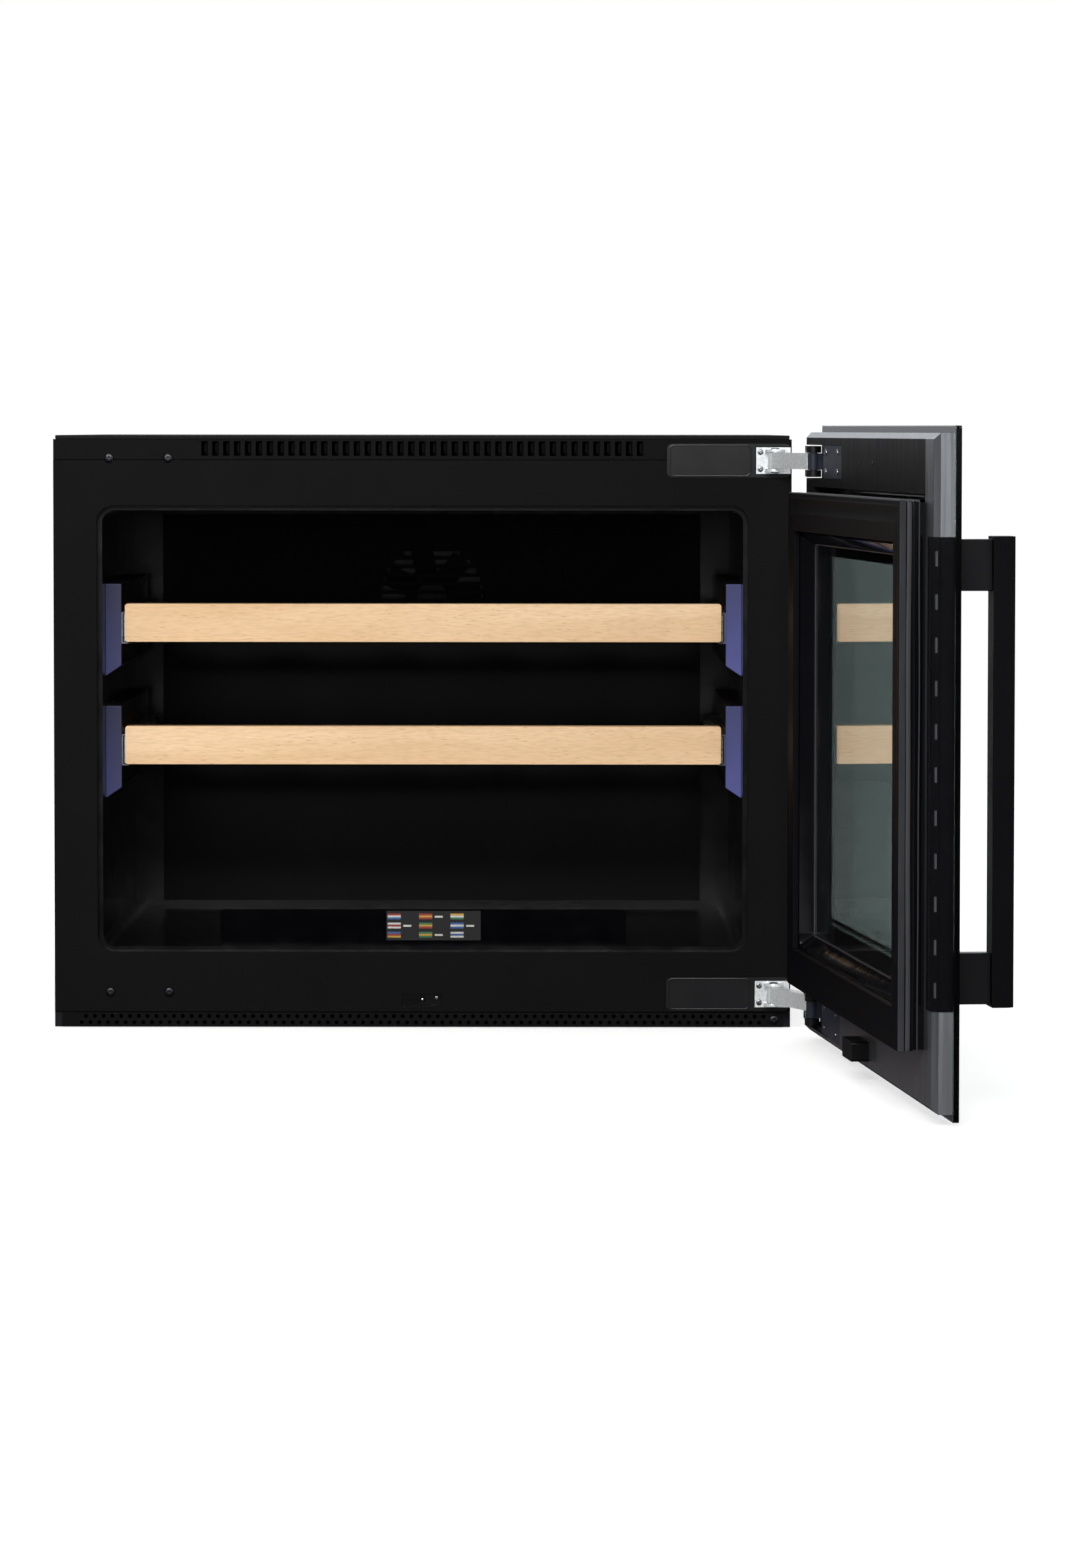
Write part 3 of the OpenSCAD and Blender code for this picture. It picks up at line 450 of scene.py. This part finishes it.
def piece(name, bm, material, body, smooth=True, matrix=None, angle=35):
    if matrix is not None:
        bm.transform(matrix)
    bmesh.ops.recalc_face_normals(bm, faces=bm.faces)
    mesh = bpy.data.meshes.new(name)
    bm.to_mesh(mesh)
    bm.free()
    for m in material if isinstance(material, (list, tuple)) else [material]:
        mesh.materials.append(M[m])
    o = bpy.data.objects.new(name, mesh)
    bpy.context.scene.collection.objects.link(o)
    if smooth:
        for p in mesh.polygons:
            p.use_smooth = True
        mesh.set_sharp_from_angle(angle=math.radians(angle))
    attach(o, body)
    return o


def rect_loop(half, low, high, radius, depth, corner=6, side=1):
    """Points of a rectangle with round corners in the X-Z plane at Y = depth."""
    radius = max(radius, 1e-6)
    centres = ((half - radius, high - radius, 0), (-half + radius, high - radius, 90),
               (-half + radius, low + radius, 180), (half - radius, low + radius, 270))
    points = []
    for x, z, start in centres:
        for i in range(corner + 1):
            a = math.radians(start + 90 * i / corner)
            points.append(Vector((x + radius * math.cos(a), depth, z + radius * math.sin(a))))
    if side > 1:
        full = []
        for i, p in enumerate(points):
            q = points[(i + 1) % len(points)]
            steps = side if (i + 1) % (corner + 1) == 0 else 1
            full += [p.lerp(q, k / steps) for k in range(steps)]
        points = full
    return points


def skin(bm, loops, close=True):
    rows = [[bm.verts.new(p) for p in loop] for loop in loops]
    count = len(rows[0])
    pairs = list(zip(rows, rows[1:])) + ([(rows[-1], rows[0])] if close else [])
    for a, b in pairs:
        for i in range(count):
            j = (i + 1) % count
            bm.faces.new((a[i], a[j], b[j], b[i]))
    return rows


def lathe(bm, rings, place, segments=28):
    """Rings of (radius or radius(angle), height) turned about Z, closed at the top, then placed."""
    rows = []
    for r, h in rings:
        row = []
        for i in range(segments):
            a = 2 * math.pi * i / segments
            radius = r(a) if callable(r) else r
            row.append(bm.verts.new(place @ Vector((radius * math.cos(a), radius * math.sin(a), h))))
        rows.append(row)
    for a, b in zip(rows, rows[1:]):
        for i in range(segments):
            j = (i + 1) % segments
            bm.faces.new((a[i], a[j], b[j], b[i]))
    bm.faces.new(rows[-1])
    bm.faces.new(list(reversed(rows[0])))


def facing(point, direction):
    """A frame at a point whose Z is the direction."""
    return Matrix.Translation(point) @ Vector(direction).to_track_quat("Z", "Y").to_matrix().to_4x4()


def screw(bm, point, direction, radius, height):
    def cross(scale):
        return lambda a: radius * scale * (0.17 + 0.36 * abs(math.cos(2 * a)) ** 6)
    lathe(bm, [
        (radius, 0), (radius, 0.35 * height), (0.94 * radius, 0.68 * height), (0.78 * radius, 0.92 * height),
        (0.6 * radius, height), (cross(1), height), (cross(0.86), 0.45 * height),
        (0.05 * radius, 0.4 * height),
    ], facing(point, direction))


def solid(bm, low, high):
    made = bmesh.ops.create_cube(bm, size=1)["verts"]
    low, high = Vector(low), Vector(high)
    for v in made:
        v.co = Vector(((v.co.x + 0.5) * (high.x - low.x) + low.x,
                       (v.co.y + 0.5) * (high.y - low.y) + low.y,
                       (v.co.z + 0.5) * (high.z - low.z) + low.z))
    return made


# ---------------------------------------------------------------- cabinet front

front_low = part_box("front_frame")[0]
front_y = front_low.y
strip_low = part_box("vent_strip")[0]

# Screws on the front frame, near its left corners.
bm = bmesh.new()
for inset in (42.5 * MM, 87.2 * MM):
    x = front_low.x + inset
    for z in (strip_low.z + 0.9 * MM, front_low.z + 15.1 * MM):
        screw(bm, (x, front_y + 0.1 * MM, z), (0, -1, 0), 3.6 * MM, 1.5 * MM)
piece("front_screws", bm, "screw_dark", CABINET)

# A grub screw on the right of the base grille.
grille_low, grille_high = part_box("base_grille")
bm = bmesh.new()
screw(bm, (grille_high.x - 7 * MM, grille_low.y + 0.1 * MM, (grille_low.z + grille_high.z) / 2),
      (0, -1, 0), 3.4 * MM, 1.2 * MM)
piece("grille_screw", bm, "screw_dark", CABINET)


def slot_edges(name):
    """The left and right edges of the slots in a strip, and their lower and upper ends."""
    points = node_points(name)
    low, high = points.min(0), points.max(0)
    inner = points[(points[:, 0] > low[0] + 1e-4) & (points[:, 0] < high[0] - 1e-4)]
    xs = sorted(set(np.round(inner[:, 0], 5)))
    return list(zip(xs[::2], xs[1::2])), inner[:, 2].min(), inner[:, 2].max()


# Louvre lips rolled inward along one edge of each slot.
slots, slot_low, slot_high = slot_edges("vent_strip")
bm = bmesh.new()
curve = [(0.0, 0.5), (-0.25, 1.2), (-0.9, 2.2), (-1.9, 3.0), (-2.9, 3.5)]
for _, right in slots:
    rows = []
    for k in range(9):
        t = k / 8
        z = slot_low + (slot_high - slot_low) * t
        reach = math.sqrt(max(0.0, 1 - abs(2 * t - 1) ** 3)) * 0.9 + 0.1
        front = [Vector((right + dx * reach * MM, front_y + dy * MM, z)) for dx, dy in curve]
        back = [p + Vector((0.25 * MM, 0.45 * MM, 0)) for p in reversed(front)]
        rows.append([bm.verts.new(p) for p in front + back])
    for a, b in zip(rows, rows[1:]):
        for i in range(len(a)):
            j = (i + 1) % len(a)
            bm.faces.new((a[i], a[j], b[j], b[i]))
    bm.faces.new(rows[0])
    bm.faces.new(list(reversed(rows[-1])))
piece("vent_louvres", bm, "cover_black", CABINET)

# Dark cheeks on the inner faces of the lit panels, which shine toward the front.
for level in ("upper", "lower"):
    bm = bmesh.new()
    for side, sign in (("left", 1), ("right", -1)):
        low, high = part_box("light_panel_%s_%s" % (level, side))
        x = high.x if sign > 0 else low.x
        depth = low.y + 0.9 * MM
        foot, head = low.z + 8.4 * MM, high.z - 0.8 * MM
        outline = [(depth, foot), (depth, head), (high.y, head), (high.y, foot)]
        near = [bm.verts.new((x - sign * 0.1 * MM, y, z)) for y, z in outline]
        far = [bm.verts.new((x + sign * 0.3 * MM, y, z)) for y, z in outline]
        bm.faces.new(near)
        bm.faces.new(far)
        for i in range(4):
            j = (i + 1) % 4
            bm.faces.new((near[i], near[j], far[j], far[i]))
    piece("panel_cheeks_" + level, bm, "liner_black", CABINET, smooth=False)

# A raised border on each hinge cover, and the bolts on each hinge bracket.
for level in ("upper", "lower"):
    low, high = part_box("hinge_cover_" + level)
    bracket_low, bracket_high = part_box("hinge_bracket_" + level)
    bm = bmesh.new()
    mid_x, half = (low.x + bracket_low.x) / 2 - 1 * MM, (bracket_low.x - low.x) / 2 - 2 * MM
    loops = []
    for inset, depth in ((0.6, 0.0), (0.75, 0.35), (1.2, 0.5), (1.65, 0.35), (1.8, 0.0)):
        loops.append([p + Vector((mid_x, 0, 0)) for p in rect_loop(
            half - inset * MM, low.z + inset * MM, high.z - inset * MM, 3.2 * MM,
            low.y - depth * MM + 0.05 * MM)])
    skin(bm, loops)
    piece("hinge_cover_bead_" + level, bm, "hinge_cover", CABINET)
    bm = bmesh.new()
    mid_z = (bracket_low.z + bracket_high.z) / 2
    for dz in (-6.4, 6.4):
        screw(bm, (bracket_low.x + 3.2 * MM, front_y - 1.95 * MM, mid_z + dz * MM), (0, -1, 0),
              2.2 * MM, 0.8 * MM)
    piece("bracket_screws_" + level, bm, "screw_nickel", CABINET)

# Pivot caps on the ends of the hinge pins.
for level in ("upper", "lower"):
    low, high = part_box("hinge_bracket_" + level)
    bm = bmesh.new()
    pivot = Vector(((low.x + high.x) / 2 + 1 * MM, front_y - 8 * MM, 0))
    for z, up in ((high.z - 1.4 * MM, 1), (low.z + 1.4 * MM, -1)):
        lathe(bm, [(3.4 * MM, 0), (3.4 * MM, 0.5 * MM), (2.9 * MM, 0.9 * MM), (1.2 * MM, 1.05 * MM)],
              facing((pivot.x, pivot.y, z), (0, 0, up)))
    piece("bracket_rivets_" + level, bm, "screw_nickel", CABINET)

# The door sensor's plunger and its screw.
low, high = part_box("door_sensor")
bm = bmesh.new()
lathe(bm, [(1.5 * MM, 0), (1.5 * MM, 0.9 * MM), (1.1 * MM, 1.5 * MM), (0.4 * MM, 1.75 * MM)],
      facing(((low.x + high.x) / 2, low.y + 1.4 * MM, (low.z + high.z) / 2), (0, -1, 0)))
screw(bm, (high.x - 4 * MM, low.y + 0.05 * MM, high.z - 2.6 * MM), (0, -1, 0), 1.4 * MM, 0.5 * MM)
piece("sensor_plunger", bm, "screw_nickel", CABINET)


# ---------------------------------------------------------------- sill plate: a card of small colour chips

def chip(name, color):
    s = Surface(name, color, 0.4)
    s.into("Base Color", s.mix(s.span(s.noise(600, 3), 0.3, 0.7, 0, 1), color, scaled(color, 0.8)))
    s.bump(s.noise(900, 2), 0.00001)
    M[name] = s.mat


for name, color in (("chip_red", linear(150, 46, 40)), ("chip_gold", linear(196, 150, 50)),
                    ("chip_blue", linear(52, 92, 150)), ("chip_green", linear(58, 116, 74)),
                    ("chip_white", linear(200, 200, 196)), ("card_black", linear(14, 14, 16))):
    chip(name, color)
CHIPS = ["card_black", "chip_red", "chip_gold", "chip_blue", "chip_green", "chip_white"]
low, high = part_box("sill_plate")
card_x = (low.x + high.x) / 2 + 8 * MM
card_z = (low.z + high.z) / 2 + 1.2 * MM
bm = bmesh.new()


def chip_block(x0, z0, x1, z1, lift, index):
    made = solid(bm, (x0, low.y - lift, z0), (x1, low.y + 0.1 * MM, z1))
    for f in {f for v in made for f in v.link_faces}:
        f.material_index = index


chip_block(card_x - 36 * MM, card_z - 11.2 * MM, card_x + 36 * MM, card_z + 11.2 * MM, 0.12 * MM, 0)
patterns = ((3, 5, 1), (1, 2, 1), (4, 5, 2), (5, 1, 5), (1, 2, 4), (3, 5, 3), (2, 1, 3), (4, 2, 4), (5, 3, 5))
for k, bands in enumerate(patterns):
    x = card_x + (k % 3 - 1) * 24 * MM - 6 * MM
    z = card_z + (1 - k // 3) * 7 * MM
    for j, index in enumerate(bands):
        foot = z - 2.2 * MM + j * 1.5 * MM
        chip_block(x - 5 * MM, foot, x + 5 * MM, foot + 1.4 * MM, 0.22 * MM, index)
    chip_block(x + 7 * MM, z - 0.9 * MM, x + 13 * MM, z + 0.5 * MM, 0.2 * MM, 5 if k % 2 else 0)
piece("sill_card", bm, CHIPS, CABINET, smooth=False)


# ---------------------------------------------------------------- door

gasket_low, gasket_high = door_box("door_gasket")
glass_low, glass_high = door_box("glass_panel")
pane_low, pane_high = door_box("window_pane")
frame_low, frame_high = door_box("door_frame")
edges = in_door("door_liner")
opening_half = np.abs(edges[:, 0]).min()
rim = edges[np.abs(edges[:, 0]) < opening_half + 1e-4]
opening_low, opening_high = rim[:, 2].min(), rim[:, 2].max()
gasket_half = gasket_high[0]
glass_half = glass_high[0]
seat = door_box("door_liner")[1][1]
ledge = pane_high[1] + 1.5 * MM
border = 95.5 * MM


def border_loop(inset, depth, radius=1.4 * MM):
    """A rectangle inset from the outer glass's edges."""
    return rect_loop(glass_half - inset, glass_low[2] + inset, glass_high[2] - inset, radius, depth)


# The dark print round the window, just within the outer glass, so that it covers what is behind it.
bm = bmesh.new()
skin(bm, [border_loop(inset, depth * MM) for inset, depth in (
    (0.6 * MM, -0.12), (border, -0.12), (border, -0.02), (0.6 * MM, -0.02))])
piece("glass_print", bm, "print_black", DOOR, smooth=False, matrix=DOOR_FRAME)

# The spacer between the two panes, and the print on the inner pane that hides it.
pane_out = pane_low[1]
bm = bmesh.new()
skin(bm, [border_loop(border - inset * MM, depth) for inset, depth in (
    (8.6, 0.2 * MM), (1.6, 0.2 * MM), (1.6, pane_out - 0.2 * MM), (8.6, pane_out - 0.2 * MM))])
piece("pane_spacer", bm, "trim", DOOR, smooth=False, matrix=DOOR_FRAME)
bm = bmesh.new()
pane_edge = glass_half - pane_high[0] + 0.5 * MM
skin(bm, [border_loop(inset, pane_out - depth * MM) for inset, depth in (
    (pane_edge, 0.02), (border - 1.2 * MM, 0.02), (border - 1.2 * MM, 0.12), (pane_edge, 0.12))])
piece("pane_print", bm, "print_black", DOOR, smooth=False, matrix=DOOR_FRAME)


def opening_loop(grow, depth, radius):
    return rect_loop(opening_half + grow, opening_low - grow, opening_high + grow, radius, depth)


# The moulded wall that rounds down from the gasket's carrier to the pane.
wall = 7.7 * MM
drop = seat - ledge - 0.4 * MM
loops = []
for k in range(11):
    t = k / 10
    turn = t * math.pi / 2
    grow = wall * (1 - math.sin(turn) * 0.35 - 0.65 * t ** 1.4)
    depth = ledge + 0.3 * MM + drop * (1 - t) ** 1.25 * math.cos(turn * 0.35)
    loops.append(opening_loop(grow, depth, 3 * MM + grow))
loops.append(opening_loop(0.0, ledge + 0.05 * MM, 3 * MM))
loops.append(opening_loop(wall, ledge + 0.05 * MM, 3 * MM + wall))
bm = bmesh.new()
skin(bm, loops)
piece("window_reveal", bm, "door_liner", DOOR, matrix=DOOR_FRAME, angle=50)

# A thin bead seals the wall's foot to the pane; its pale colour is a painted highlight along that foot.
bm = bmesh.new()
loops = []
for k in range(8):
    a = 2 * math.pi * k / 8
    depth = pane_high[1] + (0.55 + 0.5 * math.sin(a)) * MM
    loops.append(opening_loop((0.5 * math.cos(a) - 0.2) * MM, depth, 3 * MM))
skin(bm, loops)
piece("pane_bead", bm, "bead", DOOR, matrix=DOOR_FRAME)

# Folds of the gasket along the carrier's outer wall: soft lips that wander a little. The first and third lips
# are in a pale copy of the rubber, a painted highlight; the middle one is black.
FOLDS = ((4.3, 0.05, 0.45, "gasket_pale"), (8.0, -0.2, 1.0, "print_black"), (11.2, 0.0, 1.6, "gasket_pale"))
for index, (lift, out, thick, material) in enumerate(FOLDS):
    bm = bmesh.new()
    loops = []
    base = frame_high[1]
    for inset, rise in ((1.45, -thick), (0.35, -0.9 * thick), (0.0, 0.0), (0.35, 0.9 * thick), (1.45, thick)):
        loop = rect_loop(gasket_half + (out - inset) * MM, gasket_low[2] - (out - inset) * MM,
                         gasket_high[2] + (out - inset) * MM, 2.2 * MM, base + (lift + rise) * MM, side=40)
        for p in loop:
            wander = math.sin(p.z * 17 + index * 1.7) * 0.22 + math.sin(p.z * 43 + p.x * 29 + index) * 0.12
            p.y += wander * MM
        loops.append(loop)
    skin(bm, loops)
    piece("gasket_fold_%d" % (index + 1), bm, material, DOOR, matrix=DOOR_FRAME)

# Two shallow ribs on the gasket's face.
bm = bmesh.new()
loops = []
RIBS = ((3.2, 0.0), (3.6, 0.12), (4.6, 0.16), (5.0, 0.0),
        (14.5, 0.0), (14.9, 0.14), (16.2, 0.14), (16.6, 0.0))
for inset, rise in RIBS:
    loops.append(rect_loop(gasket_half - inset * MM, gasket_low[2] + inset * MM, gasket_high[2] - inset * MM,
                           2 * MM, gasket_high[1] + (rise + 0.01) * MM, side=8))
for inset in (16.6, 3.2):
    loops.append(rect_loop(gasket_half - inset * MM, gasket_low[2] + inset * MM, gasket_high[2] - inset * MM,
                           2 * MM, gasket_high[1] - 0.2 * MM, side=8))
skin(bm, loops)
piece("gasket_ribs", bm, "gasket", DOOR, matrix=DOOR_FRAME)


def arm_height(level):
    low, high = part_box("hinge_arm_" + level)
    return (low.z + high.z) / 2


# Screws of the door's hinge plates: the innermost pair on the frame's face, the others in the channels.
for level in ("upper", "lower"):
    mid_z = arm_height(level)
    bm = bmesh.new()
    for u in (0.252, 0.214, 0.19, 0.134):
        face = frame_high[1] if u < glass_half - 95 * MM else 1.5 * MM
        for dz in (-7, 7):
            screw(bm, (u, face - 0.05 * MM, mid_z + dz * MM), (0, 1, 0), 2.4 * MM, 0.9 * MM)
    piece("hinge_screws_" + level, bm, "screw_nickel", DOOR, matrix=DOOR_FRAME)

# Small marks left by the frame's fixing screws.
bm = bmesh.new()
for u in (0.0305, -0.0295):
    screw(bm, (u, frame_high[1] - 0.05 * MM, arm_height("upper")), (0, 1, 0), 1.6 * MM, 0.5 * MM)
piece("frame_screws", bm, "screw_black", DOOR, matrix=DOOR_FRAME)

# Butt joints of the aluminium frame at its free side: thin dark lines.
bm = bmesh.new()
joint = frame_low[0] + FRAME_JOINT
bevel, face = 4.5 * MM, frame_high[1]
for z_low, z_high in ((frame_low[2] + bevel, gasket_low[2] - 1 * MM),
                      (gasket_high[2] + 1 * MM, frame_high[2] - bevel)):
    solid(bm, (joint - 0.2 * MM, face - 0.1 * MM, z_low), (joint + 0.2 * MM, face + 0.04 * MM, z_high))
piece("frame_joints", bm, "print_black", DOOR, smooth=False, matrix=DOOR_FRAME)


# ---------------------------------------------------------------- back

back_low, back_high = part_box("back_panel")
screw_reach, seat_y = 0.27, back_high.y - 1.05 * MM
spots = [(part * screw_reach, z) for part in (-1, -0.5, 0, 0.5, 1)
         for z in (back_low.z + 8 * MM, back_high.z - 8 * MM)]
spots += [(part * screw_reach, z) for part in (-1, 1) for z in (0.12, 0.22, 0.32)]
bm = bmesh.new()
for x, z in spots:
    screw(bm, (x, seat_y, z), (0, 1, 0), 3.2 * MM, 1.0 * MM)
piece("back_screws", bm, "screw_black", CABINET)


# ---------------------------------------------------------------- camera, floor and light

camera = bpy.data.cameras.new("camera")
camera.lens = 144.69
camera.sensor_width = 36
camera.sensor_fit = "AUTO"
camera.clip_start, camera.clip_end = 0.1, 60
view = bpy.data.objects.new("camera", camera)
bpy.context.scene.collection.objects.link(view)
bpy.context.scene.camera = view
yaw, pitch, roll = math.radians(-0.162), math.radians(3.190), math.radians(0.039)
forward = Vector((math.sin(yaw) * math.cos(pitch), math.cos(yaw) * math.cos(pitch), -math.sin(pitch)))
view.rotation_mode = "QUATERNION"
view.rotation_quaternion = forward.to_track_quat("-Z", "Y") @ Matrix.Rotation(roll, 3, "Z").to_quaternion()
view.location = (0.0978, -4.9973, 0.4555)

floor_mesh = bpy.data.meshes.new("floor")
FLOOR_RADIUS, FLOOR_SIDES = 3.2, 120
rim = []
for i in range(FLOOR_SIDES):
    a = 2 * math.pi * i / FLOOR_SIDES
    rim.append((FLOOR_RADIUS * math.cos(a), FLOOR_RADIUS * math.sin(a) - 0.1, -0.4 * MM))
floor_mesh.from_pydata(rim, [], [list(range(FLOOR_SIDES))])
floor = bpy.data.objects.new("floor", floor_mesh)
bpy.context.scene.collection.objects.link(floor)
WHITE, WHITER = (0.86, 0.86, 0.86, 1), (0.88, 0.88, 0.88, 1)
s = Surface("floor_white", WHITE, 0.7, Specular_IOR_Level=0.1)
s.into("Base Color", s.mix(s.span(s.noise(3, 4), 0.3, 0.7, 0, 1), WHITE, WHITER))
s.bsdf.inputs["Emission Color"].default_value = (1, 1, 1, 1)
s.bsdf.inputs["Emission Strength"].default_value = 0.6
floor_mesh.materials.append(s.mat)
floor.visible_glossy = False

world = bpy.data.worlds.new("studio")
world.use_nodes = True
bpy.context.scene.world = world
tree = world.node_tree
background = tree.nodes["Background"]
path = tree.nodes.new("ShaderNodeLightPath")
tone = tree.nodes.new("ShaderNodeMix")
tone.data_type = "RGBA"
rise = tree.nodes.new("ShaderNodeTexCoord")
apart = tree.nodes.new("ShaderNodeSeparateXYZ")
tree.links.new(rise.outputs["Generated"], apart.inputs[0])
half_rise = tree.nodes.new("ShaderNodeMapRange")
half_rise.inputs["From Min"].default_value = -1
tree.links.new(apart.outputs[2], half_rise.inputs["Value"])


def room_side(colors):
    """The room's tone from the floor (0) past the horizon (0.5) to overhead (1)."""
    node = tree.nodes.new("ShaderNodeValToRGB")
    first, last = node.color_ramp.elements
    first.position, first.color = 0.0, colors[0][1]
    last.position, last.color = 1.0, colors[-1][1]
    for spot, color in colors[1:-1]:
        node.color_ramp.elements.new(spot).color = color
    tree.links.new(half_rise.outputs["Result"], node.inputs["Fac"])
    return node.outputs["Color"]


near_side = room_side((
    (0, (0.05, 0.042, 0.044, 1)), (0.46, (0.04, 0.034, 0.036, 1)), (0.49, (0.05, 0.05, 0.052, 1)),
    (0.505, (0.35, 0.35, 0.37, 1)), (0.55, (0.3, 0.3, 0.32, 1)), (0.62, (0.05, 0.05, 0.052, 1)),
    (1, (0.18, 0.18, 0.18, 1))))
far_side = room_side((
    (0, (0.05, 0.042, 0.044, 1)), (0.475, (0.07, 0.06, 0.062, 1)), (0.5, (0.36, 0.37, 0.39, 1)),
    (0.62, (0.5, 0.52, 0.55, 1)), (1, (0.15, 0.15, 0.15, 1))))
depth = tree.nodes.new("ShaderNodeMapRange")
depth.inputs["From Min"].default_value = -0.1
depth.inputs["From Max"].default_value = 0.7
tree.links.new(apart.outputs[1], depth.inputs["Value"])
sides = tree.nodes.new("ShaderNodeMix")
sides.data_type = "RGBA"
tree.links.new(depth.outputs["Result"], sides.inputs[0])
tree.links.new(near_side, sides.inputs[6])
tree.links.new(far_side, sides.inputs[7])
tree.links.new(sides.outputs[2], tone.inputs[6])
tone.inputs[7].default_value = (1, 1, 1, 1)
either = tree.nodes.new("ShaderNodeMath")
either.operation = "MAXIMUM"
tree.links.new(path.outputs["Is Camera Ray"], either.inputs[0])
tree.links.new(path.outputs["Is Transmission Ray"], either.inputs[1])
tree.links.new(either.outputs[0], tone.inputs[0])
tree.links.new(tone.outputs[2], background.inputs["Color"])
background.inputs["Strength"].default_value = 1.0


def softbox(name, place, target, size, power, color=(1, 1, 1)):
    data = bpy.data.lights.new(name, "AREA")
    data.shape = "RECTANGLE"
    data.size, data.size_y = size
    data.energy = power
    data.color = color
    o = bpy.data.objects.new(name, data)
    o.location = place
    o.rotation_mode = "QUATERNION"
    o.rotation_quaternion = (Vector(target) - Vector(place)).to_track_quat("-Z", "Y")
    bpy.context.scene.collection.objects.link(o)


softbox("key", (-0.7, -4.4, 1.9), (0, -0.3, 0.3), (2.4, 1.0), 125)
softbox("top", (0, 0.2, 3.2), (0, 0, 0), (4, 3), 40)
softbox("fill", (2.6, -3.4, 1.6), (0.2, -0.6, 0.2), (1.6, 1.6), 25)
softbox("back", (0.2, 3.4, 1.8), (0, 0, 0.3), (3, 2), 10)

scene = bpy.context.scene
scene.view_settings.view_transform = "Standard"
scene.view_settings.look = "None"
